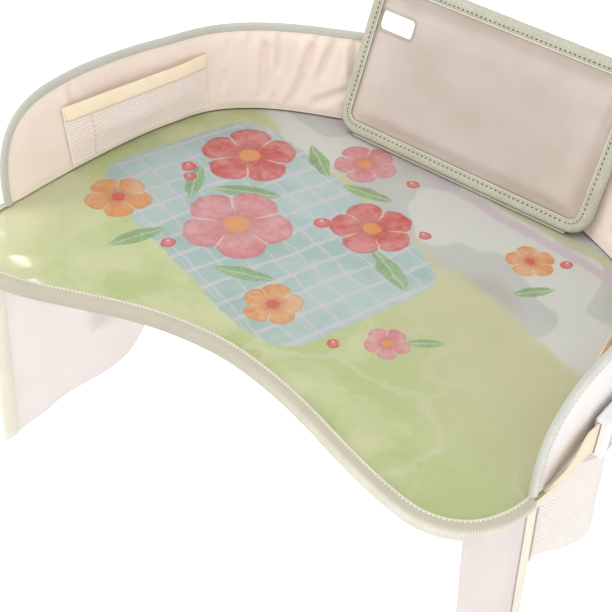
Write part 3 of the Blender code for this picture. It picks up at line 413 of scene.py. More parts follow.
def cloth_look(name, colour, shade, pitch=0.0009, thin=0.0, rows=0.0):
    """Plain woven cloth, which glows from light behind it where it is thin, and may have knitted rows."""
    look = Look(name, 0.9)
    threads = weave(look, pitch)
    tone = look.two_tone(28.0, 4.0, (0.30, 0.72), colour, shade)
    tone = look.mix(threads * 0.16, tone, linear(shade, 0.90))
    if rows:
        phase = look.axes("UV")[1] * (2 * pi / rows) + look.noise(40.0, 2.0) * 1.2
        lines = phase.sine().smooth(0.2, 0.9)
        tone = look.mix(lines * 0.30, tone, linear(shade, 0.93))
        look.bump(lines, 0.00015, 0.5)
    look.colour(tone)
    look.bump(threads, 0.00012, 0.7)
    look.bump(look.noise(160.0, 3.0), 0.0003, 0.35)
    look.sheen(0.15)
    if thin:
        glow = look.add("ShaderNodeBsdfTranslucent")
        glow.inputs["Color"].default_value = linear(colour)
        look.blend(thin, look.shader, glow)
    return look.material


def tape_look(name, body, edge, turn, pitch=RIB, relief=0.20, hem=0.0, pale=None):
    """Ribbed tape: threads across it and a second colour over part of its width: painted light where it is
    lighter, over the rounded edge, and painted shadow where it is darker; faded in along x where a range is
    given, and also on a real hem line.
    """
    look = Look(name, 0.85)
    along, across = look.axes("UV")[:2]
    ribs = along.ribs(pitch)
    hem_and_edge_light_shade = across.smooth(*turn)
    # The painted light is faded in along x, so that only the lit end of the tape is lighter.
    if pale:
        hem_and_edge_light_shade = hem_and_edge_light_shade * look.axes()[0].smooth(*pale)
    if hem:
        hem_and_edge_light_shade = hem_and_edge_light_shade.most(across.smooth(hem + 0.0006, hem))
    tone = look.mix(hem_and_edge_light_shade, linear(body), linear(edge))
    tone = look.mix(look.noise(60.0, 3.0).smooth(0.35, 0.75) * 0.35, tone, linear(body, 0.93))
    look.colour(look.mix(ribs * relief, tone, linear(body, 0.82)))
    look.bump(ribs, 0.00020, 0.6)
    look.sheen(0.12)
    return look.material


def webbing_look(name, body, shade):
    """Woven webbing: a fine slanted twill with a firmer edge."""
    look = Look(name, 0.75)
    along, across = look.axes("UV")[:2]
    twill = (along + across).wave(0.0016) * (across.wave(0.0011) * 0.35 + 0.65)
    twill = twill * 0.5 + 0.5
    tone = look.two_tone(45.0, 3.0, (0.35, 0.70), body, shade)
    look.colour(look.mix(twill * 0.30, tone, linear(shade, 0.86)))
    look.bump(twill, 0.00025, 0.8)
    look.sheen(0.10)
    return look.material


def plastic_look(name, colour, roughness=0.32):
    """Moulded plastic with a faint grain and a thin gloss."""
    look = Look(name, roughness)
    look.colour(look.two_tone(35.0, 3.0, (0.3, 0.8), colour, [part * 0.975 for part in colour]))
    look.bump(look.noise(900.0, 2.0), 0.00004, 0.4)
    look.shader.inputs["Coat Weight"].default_value = 0.25
    look.shader.inputs["Coat Roughness"].default_value = 0.15
    return look.material


def thread_look(name, colour):
    """Sewing thread."""
    look = Look(name, 0.6)
    look.colour(look.mix(look.axes()[0].ribs(0.0004) * 0.3, linear(colour), linear(colour, 0.8)))
    look.sheen(0.2)
    return look.material


def film_look(name, tint, gloss_share):
    """Clear film: mostly see-through, with a soft gloss that grows at a slant."""
    look = Look(name)
    clear = look.add("ShaderNodeBsdfTransparent")
    clear.inputs["Color"].default_value = tint
    gloss = look.add("ShaderNodeBsdfGlossy")
    look.feed(gloss.inputs["Roughness"], look.noise(30.0, 3.0) * 0.08 + 0.05)
    fresnel = look.add("ShaderNodeFresnel")
    fresnel.inputs["IOR"].default_value = 1.45
    waves = look.bump_node(look.noise(20.0, 2.0), 0.0007, 0.6)
    look.feed(gloss.inputs["Normal"], waves.outputs["Normal"])
    look.feed(fresnel.inputs["Normal"], waves.outputs["Normal"])
    lit = look.math("SUBTRACT", 1.0, look.ray("Is Shadow Ray"))
    look.blend(Field(look, fresnel.outputs[0]) * gloss_share * lit, clear, gloss)
    look.tree.nodes.remove(look.shader)
    return look.material


# Generic printed cloth: a checked blanket in a meadow, with blossoms, leaves and berries

MEADOW, LIME, STRAW = (232, 234, 190), (213, 223, 163), (226, 222, 184)
POOL, TIP = (199, 215, 146), (247, 245, 208)
MIST, PALE_MIST, STONE, LILAC = (220, 220, 215), (238, 237, 229), (205, 199, 186), (228, 211, 220)
AQUA, PALE_AQUA, CHECK_LINE = (184, 210, 205), (203, 222, 219), (231, 224, 234)
CORAL, ROSE, ORANGE, LEAF = (232, 98, 94), (238, 150, 154), (247, 172, 98), (150, 184, 132)
DEEP_LEAF, LEAF_VEIN = (122, 160, 108), (214, 224, 190)
PAPER, OCHRE = (250, 240, 228), (226, 150, 72)

BLANKET_MIDDLE, BLANKET_HALF, BLANKET_TURN = (-0.058, -0.004), (0.104, 0.066), radians(-17)
BLOSSOMS = (
    (-0.112, 0.046, 0.031, 0.3, CORAL), (-0.050, 0.090, 0.021, 1.1, ROSE),
    (-0.070, -0.016, 0.034, 2.0, ROSE), (-0.142, -0.044, 0.021, 0.8, ORANGE),
    (-0.006, 0.036, 0.026, 2.6, CORAL), (-0.006, -0.060, 0.018, 1.7, ORANGE),
    (0.084, 0.074, 0.015, 0.2, ORANGE), (0.062, -0.044, 0.013, 2.2, ROSE),
)
PETALS, PETAL_STREAKS, HEART_DOTS = 5, 17.0, 7.0
LEAVES = (
    (-0.086, 0.014, 0.023, 0.5), (-0.074, 0.072, 0.020, 2.5), (-0.106, -0.066, 0.021, 1.2),
    (-0.030, 0.064, 0.019, 0.2), (0.026, 0.010, 0.022, 2.7), (-0.118, 0.000, 0.019, 2.1),
    (0.100, 0.050, 0.015, 0.9), (-0.036, -0.050, 0.020, 0.4), (0.078, -0.030, 0.013, 0.7),
)
BERRIES = (
    (-0.132, 0.010, 0.0050), (-0.124, 0.002, 0.0042), (-0.032, 0.020, 0.0048), (0.022, 0.052, 0.0040),
    (-0.088, -0.058, 0.0046), (-0.014, 0.092, 0.0040), (0.040, -0.064, 0.0036), (0.102, 0.086, 0.0036),
)


def print_look():
    """The deck's printed cloth."""
    look = Look("printed_cloth", 0.7)
    x, y, _ = look.axes()
    wobble = (look.noise(24.0, 3.0) - 0.5) * 0.022
    fine = (look.noise(110.0, 4.0) - 0.5) * 0.0040
    wash = look.noise(17.0, 5.0, roughness=0.65)
    mottle = look.noise(70.0, 5.0, roughness=0.7)
    spot = (x + fine, y + fine)
    ground = paint_meadow(look, x, y, wash, wobble)
    ground = paint_sky(look, ground, x, y, wobble)
    ground = paint_blanket(look, ground, spot, wash, wobble)
    for leaf in LEAVES:
        ground = paint_leaf(look, ground, spot, leaf, mottle)
    for berry in BERRIES:
        ground = paint_berry(look, ground, spot, berry)
    for flower in BLOSSOMS:
        ground = paint_blossom(look, ground, spot, flower, mottle)
    look.colour(look.mix(mottle.smooth(0.30, 0.90) * 0.16, ground, linear(PAPER)))
    look.bump(weave(look, 0.0008, "Object"), 0.00008, 0.5)
    return look.material


def turned(spot, middle, turn):
    """Coordinates along and across something that lies turned about its middle."""
    dx, dy = spot[0] - middle[0], spot[1] - middle[1]
    return dx * cos(turn) + dy * sin(turn), dy * cos(turn) - dx * sin(turn)


def away_from(spot, x, y):
    """Distance from a place on the deck."""
    dx, dy = spot[0] - x, spot[1] - y
    return (dx * dx + dy * dy) ** 0.5


def paint_meadow(look, x, y, wash, wobble):
    """A mottled meadow with darker pools and pale rims, a straw field and a bright tip at the left."""
    ground = look.mix(wash.smooth(0.36, 0.60), linear(MEADOW), linear(LIME))
    pool = look.noise(9.0, 1.0) * 0.8 + wash * 0.2
    ground = look.mix(pool.smooth(0.50, 0.515) * 0.30, ground, linear(POOL))
    ground = look.mix((pool - 0.58).size().smooth(0.014, 0.004) * 0.30, ground, linear(PAPER))
    straw = (y * 0.9 + x * 0.5 + wobble).smooth(-0.045, 0.050)
    ground = look.mix(straw * 0.8, ground, linear(STRAW))
    tip = (x * -1.0 - y * 0.6 + wobble).smooth(0.185, 0.235)
    return look.mix(tip * 0.85, ground, linear(TIP))


def paint_sky(look, ground, x, y, wobble):
    """A misty sky behind the meadow, with drifts of cloud and two soft lines."""
    drifts = look.noise(10.0, 1.6)
    haze = look.mix(drifts.smooth(0.500, 0.512) * 0.85, linear(MIST), linear(PALE_MIST))
    haze = look.mix(drifts.smooth(0.46, 0.36) * 0.8, haze, linear(STONE))
    ground = look.mix((y + x * 0.30 + wobble * 1.6).smooth(0.046, 0.056), ground, haze)
    for level, tint in ((0.106, LILAC), (0.118, STRAW)):
        band = (y + x * 0.12 + wobble * 0.5 - level).size().smooth(0.0050, 0.0025)
        ground = look.mix(band * 0.8, ground, linear(tint))
    return ground


def paint_blanket(look, ground, spot, wash, wobble):
    """Aqua cloth with a loose hand-drawn check and a soft torn edge."""
    along, across = turned(spot, BLANKET_MIDDLE, BLANKET_TURN)
    power = 6.0
    reach = (along.size() / BLANKET_HALF[0]) ** power + (across.size() / BLANKET_HALF[1]) ** power
    inside = (reach ** (1 / power) + wobble * 3.0).smooth(1.015, 0.985)
    tone = look.mix(wash.smooth(0.34, 0.62), linear(AQUA), linear(PALE_AQUA))
    loose = wobble * 0.28
    checks = ((along, 0.0165, 0.0015, 0.80), (across, 0.0150, 0.0010, 0.62),
              (across + 0.0034, 0.0300, 0.0005, 0.45))
    for place, pitch, half, strength in checks:
        edge = sin(pi * half / pitch)
        line = (place + loose).wave(2 * pitch).size().smooth(edge * 1.25, edge * 0.75)
        worn = wash.smooth(0.20, 0.50) * 0.35 + 0.65
        tone = look.mix(line * worn * strength, tone, linear(CHECK_LINE))
    return look.mix(inside * 0.96, ground, tone)


def paint_leaf(look, ground, spot, leaf, mottle):
    """A pointed leaf, darker on one side of its pale vein."""
    centre_x, centre_y, length, turn = leaf
    along, side = turned(spot, (centre_x, centre_y), turn)
    half_width = along * along * (-0.30 / length) + length * 0.30
    inside = (half_width - side.size()).smooth(-0.0003, 0.0010)
    vein = side.size().smooth(0.0008, 0.0002)
    ribs = (along + side.size()).wave(0.0045).smooth(0.72, 0.95) * 0.35
    shade = look.mix(mottle.smooth(0.30, 0.70), linear(LEAF), linear(LEAF, 1.16))
    shade = look.mix(side.smooth(-0.0004, 0.0004) * 0.35, shade, linear(DEEP_LEAF))
    shade = look.mix(vein.most(ribs), shade, linear(LEAF_VEIN))
    return look.mix(inside * 0.88, ground, shade)


def paint_berry(look, ground, spot, berry):
    """A small round berry with a pale glint."""
    x, y, radius = berry
    away = away_from(spot, x, y)
    glint = away_from(spot, x - radius * 0.35, y + radius * 0.35)
    shade = look.mix(away.smooth(radius * 0.2, radius), linear(ROSE), linear(CORAL))
    shade = look.mix(glint.smooth(radius * 0.32, radius * 0.12) * 0.8, shade, linear(PAPER))
    return look.mix(away.smooth(radius * 1.08, radius * 0.94) * 0.95, ground, shade)


def paint_blossom(look, ground, spot, flower, mottle):
    """A flower of five round petals with unpainted gaps, deeper rims and a warm dotted centre."""
    x, y, radius, turn, colour = flower
    away = away_from(spot, x, y) / radius
    bearing = look.math("ARCTAN2", spot[1] - y, spot[0] - x) + turn
    petal = (bearing * (PETALS / 2)).cosine().size()
    edge = petal ** 0.42 * 0.36 + 0.66 - away
    deep = linear(colour, 0.90)
    pale = linear([min(255, part * 0.62 + 92) for part in colour])
    streaks = ((bearing * PETAL_STREAKS).sine() * 0.5 + 0.5) * away.smooth(0.25, 0.75)
    gap = petal.smooth(0.13, 0.03) * away.smooth(0.30, 0.52)
    dots = (bearing * HEART_DOTS).cosine().smooth(0.45, 0.75) * (away - 0.29).size().smooth(0.045, 0.020)
    shade = look.mix(mottle.smooth(0.34, 0.62), linear(colour), pale)
    shade = look.mix(away.smooth(0.62, 0.24) * 0.55, shade, deep)
    shade = look.mix(streaks * mottle.smooth(0.62, 0.36) * 0.40, shade, deep)
    shade = look.mix(edge.smooth(0.13, 0.02) * 0.50, shade, deep)
    shade = look.mix(gap * 0.75, shade, linear(PAPER))
    shade = look.mix(away.smooth(0.25, 0.19), shade, linear(CORAL if colour == ORANGE else ORANGE))
    shade = look.mix(dots * 0.9, shade, linear(OCHRE))
    return look.mix(edge.smooth(-0.015, 0.035) * 0.94, ground, shade)


def make_looks():
    return {
        "print": print_look(),
        "film": film_look("deck_film", (0.99, 0.995, 0.99, 1.0), 1.0),
        "window": film_look("window_film", (0.985, 0.985, 0.985, 1.0), 0.7),
        "foam": cloth_look("foam", (238, 234, 222), (230, 226, 214)),
        "outer": cloth_look("outer_cloth", (249, 244, 241), (245, 238, 234)),
        "wing": cloth_look("wing_cloth", (248, 241, 239), (244, 236, 233), 0.0012, thin=0.42, rows=0.0024),
        # Left wing: the same cloth as the right one, in a lighter copy that paints the light falling on its
        # inner face.
        "wing_painted_lighter": cloth_look("left_wing_cloth_painted_lighter", (255, 250, 248), (252, 245, 242), 0.0012,
                                thin=0.30, rows=0.0024),
        "inner": cloth_look("inner_cloth", (248, 233, 222), (243, 226, 213)),
        # Front binding: its lighter outer half is painted light, faded in only towards the right where light
        # falls on it; its inner hem line is a real cream line.
        "ribbed": tape_look("ribbed_tape", (200, 193, 174), (236, 232, 217), (0.0062, 0.0100),
                            relief=0.36, hem=0.0018, pale=(-0.02, 0.13)),
        # The rim tape, the wall's top tape and the cream tape are painted lighter where they round over their
        # edge: painted light.
        "rim": tape_look("rim_tape", (245, 237, 206), (247, 241, 218), (0.0020, 0.0060)),
        "sage": tape_look("sage_tape", (203, 203, 192), (230, 231, 223), (0.0052, 0.0080), relief=0.30),
        "sage_deep": grain_look("holder_tape", (207, 206, 186), (198, 197, 176)),
        "piping": cloth_look("holder_piping", (236, 231, 216), (228, 222, 206)),
        "cream": tape_look("cream_tape", (250, 244, 225), (251, 246, 230), (0.0100, 0.0150)),
        "cream_flat": cloth_look("cream_cloth", (243, 236, 214), (238, 230, 206)),
        # Elastic band: its darker top line is a painted shadow of the pocket's mouth.
        "band": tape_look("elastic_band", (255, 239, 210), (230, 202, 166), (0.0089, 0.0093), 0.0021, 0.07),
        "net": cloth_look("net_cloth", (254, 248, 244), (252, 243, 238), 0.0006),
        "pocket_net": cloth_look("pocket_net_cloth", (255, 245, 238), (255, 240, 230), 0.0006),
        "holder": cloth_look("holder_cloth", (226, 213, 203), (216, 202, 190)),
        "holder_tape": cloth_look("holder_tape_cloth", (206, 198, 184), (198, 190, 176)),
        "webbing": webbing_look("webbing", (252, 239, 212), (246, 230, 198)),
        "white": plastic_look("buckle_plastic", (244, 243, 248)),
        "board": plastic_look("stiff_sheet", (222, 222, 218), 0.5),
        "thread_pale": thread_look("pale_thread", (244, 239, 216)),
        "thread_sage": thread_look("sage_thread", (196, 199, 184)),
        "thread_tan": thread_look("tan_thread", (226, 196, 160)),
        "thread_dark": thread_look("dark_thread", (88, 84, 68)),
    }


# Mesh building

def finished(mesh, look, body, nodes=(), thickness=0.0):
    """Makes the object, lets it ride on its body, says what it replaces and thickens it."""
    piece = bpy.data.objects.new(mesh.name, mesh)
    bpy.context.scene.collection.objects.link(piece)
    mesh.materials.append(LOOKS[look])
    mesh.shade_smooth()
    mesh.set_sharp_from_angle(angle=radians(50))
    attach(piece, body)
    if nodes:
        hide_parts(*nodes)
    if thickness:
        solid = piece.modifiers.new("Thickness", "SOLIDIFY")
        solid.thickness = thickness
        solid.offset = 0.0
        solid.use_even_offset = True
    return piece


def mesh_from(name, points, faces, spots):
    """A mesh with a UV map that holds metres along and across the cloth."""
    mesh = bpy.data.meshes.new(name)
    mesh.from_pydata([tuple(point) for point in points], [], faces)
    layer = mesh.uv_layers.new(name="UVMap")
    for loop in mesh.loops:
        layer.data[loop.index].uv = spots[loop.vertex_index]
    mesh.validate()
    return mesh


def bent_mesh(name, shares, faces, place, size):
    """A mesh of points at shares (across, up) of a cloth, bent through place(across, up)."""
    points = [place(across, up) for across, up in shares]
    spots = [(across * size[0], up * size[1]) for across, up in shares]
    return mesh_from(name, points, faces, spots)


def sheet_mesh(name, columns, rows, place, size):
    """A plain bent cloth."""
    shares = [(i / columns, j / rows) for j in range(rows + 1) for i in range(columns + 1)]
    firsts = [j * (columns + 1) + i for j in range(rows) for i in range(columns)]
    faces = [(a, a + 1, a + columns + 2, a + columns + 1) for a in firsts]
    return bent_mesh(name, shares, faces, place, size)


NET_CELL = ((0, 0), (1, 0), (2, 0), (2, 1), (2, 2), (1, 2), (0, 2), (0, 1))


def net_mesh(name, columns, rows, place, size, hole):
    """A bent cloth with rows of small round holes, each row set off by half a hole's pitch."""
    shares, faces, corners = [], [], {}

    def point(i, j):
        shares.append((i / (2 * columns), j / (2 * rows)))
        return len(shares) - 1

    def corner(i, j):
        if (i, j) not in corners:
            corners[(i, j)] = point(i, j)
        return corners[(i, j)]

    for row in range(rows):
        shift, j = row % 2, 2 * row
        for column in range(columns - shift):
            i = 2 * column + shift
            outer = [corner(i + a, j + b) for a, b in NET_CELL]
            inner = [point(*spot) for spot in arc((i + 1, j + 1), 2 * hole, 5 * pi / 4, 2 * pi, 8)[:-1]]
            for k in range(8):
                m = (k + 1) % 8
                faces.append((outer[k], outer[m], inner[m], inner[k]))
        if shift:
            for i in (0, 2 * columns - 1):
                for b in (j, j + 1):
                    faces.append((corner(i, b), corner(i + 1, b), corner(i + 1, b + 1), corner(i, b + 1)))
    return bent_mesh(name, shares, faces, place, size)


def skin(low, high, count):
    """Faces between two closed rings, from the numbers of their first points."""
    return [(low + k, low + (k + 1) % count, high + (k + 1) % count, high + k) for k in range(count)]


def loft(name, rings, marks, look, body, nodes=(), closed=False, flip=False):
    """A finished piece that skins rings of equal counts, at marks along it."""
    count = len(rings[0])
    last = (len(rings) - 1) * count
    points = [point for ring in rings for point in ring]
    spots = [(mark, across) for ring, mark in zip(rings, marks) for across in marks_along(ring)]
    faces = []
    for low in range(0, last, count):
        faces += skin(low, low + count, count)
    if closed:
        faces += skin(last, 0, count)
    else:
        faces += [tuple(reversed(range(count))), tuple(range(last, last + count))]
    mesh = mesh_from(name, points, faces, spots)
    if flip:
        mesh.flip_normals()
    return finished(mesh, look, body, nodes)


def ribbed(places, ring, depth):
    """Rings from ring(place, press), every other one pressed in by the depth of the ribs."""
    return [ring(place, depth if k % 2 else 0.0) for k, place in enumerate(places)]


def pinched(pairs, numbers, press):
    """A section with its numbered points pressed in from both of its faces."""
    return [(along, out + (press if out < 0 else -press) if index in numbers else out)
            for index, (along, out) in enumerate(pairs)]


STITCH_PROFILE = ((0.0, 0.45, 0.0), (0.18, 1.0, 0.8), (0.5, 1.0, 1.0), (0.82, 1.0, 0.8), (1.0, 0.45, 0.0))
STITCH_SINK, STITCH_BACK = 0.3, 0.7


def stitches(name, threads, look, body, width=0.00045, rise=0.00028):
    """A row of short threads, each given by its two ends and the direction away from the cloth."""
    points, faces = [], []
    for start, end, away in threads:
        side = (end - start).cross(away).normalized() * width / 2
        lift = away.normalized() * rise
        base = len(points)
        for share, half, up in STITCH_PROFILE:
            centre, reach = start.lerp(end, share), side * half
            points += [centre - reach - lift * STITCH_SINK, centre - reach * STITCH_BACK + lift * up,
                       centre + reach * STITCH_BACK + lift * up, centre + reach - lift * STITCH_SINK]
        for low in range(base, base + 16, 4):
            faces += skin(low, low + 4, 4)
        faces += [tuple(range(base + 3, base - 1, -1)), tuple(range(base + 16, base + 20))]
    flat = [(0.0, 0.0)] * len(points)
    return finished(mesh_from(name, points, faces, flat), look, body)


# Deck

DECK_CENTRE = Vector((0.0, 0.020))
DECK_FACETS, PAD_FACETS = 342, 228
LAYER_SINK = 0.0002
RING_SHARES = [1.0, 0.995, 0.99, 0.98, 0.97, 0.96, 0.95, 0.94, 0.92, 0.90]
RING_SHARES += [k / 40 for k in range(35, 2, -1)]
UNDERSIDE_LEVELS = (
    (0.30, UNDERSIDE_TOP), (0.90, UNDERSIDE_TOP), (0.998, UNDERSIDE_TOP), (1.0, EDGE_FLOOR + 0.0005),
    (0.995, EDGE_FLOOR), (0.80, EDGE_FLOOR), (0.785, EDGE_FLOOR - 0.0004), (0.765, 0.0005),
    (0.745, 0.0001), (0.70, 0.0), (0.30, 0.0),
)
PADDING_LEVELS = (
    (0.30, PAD_TOP), (0.90, PAD_TOP), (0.97, PAD_TOP - 0.0001), (0.995, PAD_TOP - 0.0006),
    (1.0, 0.0059), (0.995, PAD_FLOOR), (0.30, PAD_FLOOR),
)
BINDING_IN, BINDING_OVER, BINDING_TOP, BINDING_FOOT = 0.0013, 0.0012, 0.0094, 0.0010
BINDING_ROUND, BINDING_CROWN, BINDING_HEEL = 0.0024, 0.0001, (0.0012, 0.0004)
BINDING_LIP = ((-0.0002, -0.0002), (0.0003, 0.0002), (0.0009, 0.0001), (0.0013, -0.0001), (0.0018, 0.0))
BINDING_RIBBED, BINDING_FACE = range(4, 22), 0.008
RIM_THICKNESS, RIM_UNDER, RIM_RIBBED = 0.0009, 0.0050, range(2, 6)


def deck_edge(count):
    """Points round the deck's outer edge."""
    runs = [SEAM.length * k / count for k in range(count)]
    return [SEAM.place(run, margin_at(run), 0.0).to_2d() for run in runs]


def deck_relief(spot, edge_share):
    """Slight waves of the film, with small puckers where its edge is sewn at the left and front."""
    wave = drift(spot.x * 11.0, spot.y * 11.0, 0.3) * 0.00030
    turn = atan2(spot.y - DECK_CENTRE.y, spot.x - DECK_CENTRE.x)
    tucks = drift(cos(turn) * 16.0, sin(turn) * 16.0, edge_share * 2.0) * 0.00050
    tucks *= eased((edge_share - 0.78) / 0.12) * eased((0.995 - edge_share) / 0.05)
    tucks *= eased((-spot.x - 0.02) / 0.10)
    sewn_down = 0.00020 * eased((edge_share - 0.93) / 0.06)
    return (wave + tucks) * eased((1.0 - edge_share) * 9.0) - sewn_down


def deck_surface(name, top, look, node, thickness=0.0):
    """A layer of the deck's top, from rings that shrink towards its middle."""
    edge = deck_edge(DECK_FACETS)
    count, last = len(edge), (len(RING_SHARES) - 1) * len(edge)
    flat = [(DECK_CENTRE.lerp(spot, share), share) for share in RING_SHARES for spot in edge]
    flat.append((DECK_CENTRE, 0.0))
    points = [Vector((*spot, top - LAYER_SINK + deck_relief(spot, share))) for spot, share in flat]
    faces = []
    for low in range(0, last, count):
        faces += skin(low, low + count, count)
    faces += [(last + k, last + (k + 1) % count, last + count) for k in range(count)]
    mesh = mesh_from(name, points, faces, [tuple(spot) for spot, _ in flat])
    return finished(mesh, look, "tray", [node], thickness)


def padded_slab(name, levels, look, node):
    """A closed layer from rings of (share of the outline, height)."""
    edge = deck_edge(PAD_FACETS)
    rings = [[Vector((*DECK_CENTRE.lerp(spot, share), height)) for spot in edge] for share, height in levels]
    return loft(name, rings, [share * 0.1 for share, _ in levels], look, "tray", [node])


def make_deck():
    cloth = deck_surface("deck_printed_cloth", PRINT_TOP, "print", "deck_print", 0.0003)
    film = deck_surface("deck_clear_film", DECK_TOP, "film", "deck_film")
    underside = padded_slab("deck_underside", UNDERSIDE_LEVELS, "outer", "underside_cover")
    padding = padded_slab("deck_padding", PADDING_LEVELS, "foam", "deck_pad")


def binding_section(margin):
    """Outline of the wide front binding as (out, height) pairs, from its inner top edge outwards."""
    crest = margin + BINDING_OVER - BINDING_ROUND
    flat = BINDING_IN + BINDING_LIP[-1][0]
    under, floor, inner = DECK_TOP + SEAM_GAP, EDGE_FLOOR - SEAM_GAP, margin + SEAM_GAP
    pairs = [(BINDING_IN, under)] + [(BINDING_IN + out, BINDING_TOP + rise) for out, rise in BINDING_LIP]
    pairs += [(flat + (crest - flat) * share, BINDING_TOP + BINDING_CROWN) for share in (0.35, 0.70)]
    pairs += arc((crest, BINDING_TOP - BINDING_ROUND), BINDING_ROUND, pi / 2, -pi / 2, 6)
    pairs += arc((crest, BINDING_FOOT + BINDING_ROUND), BINDING_ROUND, 0.0, -pi / 2, 6)[1:]
    pairs += [(BINDING_HEEL[0], BINDING_FOOT), (0.0, BINDING_FOOT + BINDING_HEEL[1]), (0.0, floor)]
    return pairs + [(inner, floor), (inner, under)]


def make_front_binding():
    """Wide ribbed tape round the deck's front edge, with a row of stitches on its top."""
    def ring(distance, press):
        margin = margin_at(distance)
        pairs = binding_section(margin)
        for index in BINDING_RIBBED:
            out, height = pairs[index]
            pairs[index] = (out - press * (out > margin * 0.6), height - press * (height > BINDING_FACE))
        return [SEAM.place(distance, *pair) for pair in pairs]

    setback = CAP_THICKNESS + 2 * SEAM_GAP
    places = spread(WALL_END + setback, WALL_START + SEAM.length - setback, RIB / 2)
    loft("front_ribbed_binding", ribbed(places, ring, RIB_DEPTH), places, "ribbed", "tray",
         ["front_binding"])
    row_out, row_height, from_end, pitch, stitch = 0.0028, 0.00945, 0.004, 0.0024, (0.0003, 0.0017)
    threads = []
    for start in spread(WALL_END + from_end, WALL_START + SEAM.length - from_end, pitch)[:-1]:
        threads.append((*[SEAM.place(start + step, row_out, row_height) for step in stitch], UP))
    stitches("front_binding_stitches", threads, "thread_pale", "tray", 0.0006, 0.00035)


def make_rim():
    """Narrow tape round the deck's edge outside the wall, turned in underneath."""
    inner, low, top = WALL_MARGIN + SEAM_GAP, EDGE_FLOOR - SEAM_GAP, DECK_TOP
    outer, turned_in = inner + RIM_THICKNESS, inner - RIM_UNDER
    pairs = [(inner, top - 0.0002), (inner + 0.0004, top), (outer - 0.0001, top - 0.0003),
             (outer, top - 0.0010), (outer, low + 0.0012), (outer - 0.0003, low),
             (inner - 0.0002, low - 0.0008), (inner - 0.0012, low - RIM_THICKNESS),
             (turned_in + 0.0002, low - RIM_THICKNESS), (turned_in, low - 0.0005), (turned_in + 0.0002, low),
             (inner, low)]

    def ring(distance, press):
        return [SEAM.place(distance, out - press * (index in RIM_RIBBED), height)
                for index, (out, height) in enumerate(pairs)]

    places = spread(WALL_START - RIB, WALL_END + RIB, RIB / 2)
    loft("rim_tape", ribbed(places, ring, FINE_RIB_DEPTH), places, "rim", "tray",
         ["rim_binding"])


# Wall

INNER_RISES = [0.0, 0.015] + [k / 36 for k in range(1, 36)] + [0.985, 1.0]
OUTER_RISES = (1.0, 0.97, 0.94, 0.89, 0.83, 0.76, 0.68, 0.60, 0.52, 0.44, 0.36, 0.28, 0.20, 0.13, 0.07,
               0.03, 0.0)
END_STEPS, CAP_END_STEPS, LEVEL_STEP = 16, 240, 0.002
FOLD_STRENGTH, FOLD_REACH, FOLD_RIDGE, RIDGE_AWAY = 1.3, 0.022, 0.55, 1.9
FOLDS = (
    (0.710, 0.86, 0.711, 0.15, 0.0026, 0.0023), (0.697, 1.00, 0.698, 0.45, 0.0021, 0.0015),
    (0.667, 0.86, 0.673, 0.50, 0.0025, 0.0022), (0.673, 0.50, 0.686, 0.08, 0.0024, 0.0018),
    (0.664, 1.00, 0.665, 0.86, 0.0020, 0.0013), (0.647, 0.98, 0.658, 0.45, 0.0024, 0.0019),
    (0.630, 1.00, 0.627, 0.50, 0.0023, 0.0018), (0.628, 0.38, 0.664, 0.12, 0.0030, 0.0021),
    (0.700, 0.22, 0.701, 0.02, 0.0017, 0.0012), (0.741, 1.00, 0.742, 0.72, 0.0022, 0.0009),
    (0.725, 1.00, 0.724, 0.80, 0.0020, 0.0010), (0.752, 0.25, 0.745, 0.52, 0.0024, 0.0009),
    (0.610, 0.90, 0.607, 0.40, 0.0024, 0.0016), (0.905, 0.95, 0.915, 0.35, 0.0030, 0.0009),
    (0.930, 0.80, 0.922, 0.20, 0.0026, 0.0007), (0.300, 0.95, 0.296, 0.30, 0.0028, 0.0014),
    (0.318, 0.90, 0.327, 0.15, 0.0025, 0.0015), (0.280, 1.00, 0.284, 0.45, 0.0022, 0.0012),
    (0.340, 0.98, 0.338, 0.55, 0.0024, 0.0013), (0.262, 0.85, 0.268, 0.20, 0.0026, 0.0011),
)
CAP_RIBBED, CAP_CREST, CAP_SHOULDER = 17, 0.0026, -0.0008
NET_STANDOFF, BAND_STANDOFF = 0.0021, 0.0025
GATHER, GATHER_PITCH = 0.00005, 0.0021


def wall_along(apart):
    """Distances along the wall, close together at its rounded ends."""
    ends = [WALL_END_ROUNDING * (k / END_STEPS) ** 2 for k in range(1, END_STEPS)]
    middle = spread(WALL_START + WALL_END_ROUNDING, WALL_END - WALL_END_ROUNDING, apart)
    return [WALL_START + run for run in ends] + middle + [WALL_END - run for run in reversed(ends)]


def fold_depth(distance, rise):
    """How deep the soft upright folds of the inner cloth dip here, less the ridge beside each."""
    depth = 0.0
    spot = Vector((distance + 0.0007 * drift(distance * 30.0, rise * 4.0, 2.0), rise * WALL_HEIGHT))
    for share_a, rise_a, share_b, rise_b, half, deep in FOLDS:
        start = Vector((WALL_START + share_a * (WALL_END - WALL_START), rise_a * WALL_HEIGHT))
        end = Vector((WALL_START + share_b * (WALL_END - WALL_START), rise_b * WALL_HEIGHT))
        if abs(spot.x - (start.x + end.x) / 2) > FOLD_REACH:
            continue
        run = end - start
        share = clamp((spot - start).dot(run) / run.length_squared)
        off = spot - start.lerp(end, share)
        side = off.x if run.y < 0 else -off.x
        ridge = FOLD_RIDGE * exp(-((side - RIDGE_AWAY * half) / half) ** 2 - (off.y / half) ** 2 * 0.4)
        fade = eased(min(share, 1 - share) * 5 + 0.25)
        depth += deep * FOLD_STRENGTH * (exp(-(off.length / half) ** 2) - ridge) * fade
    return depth


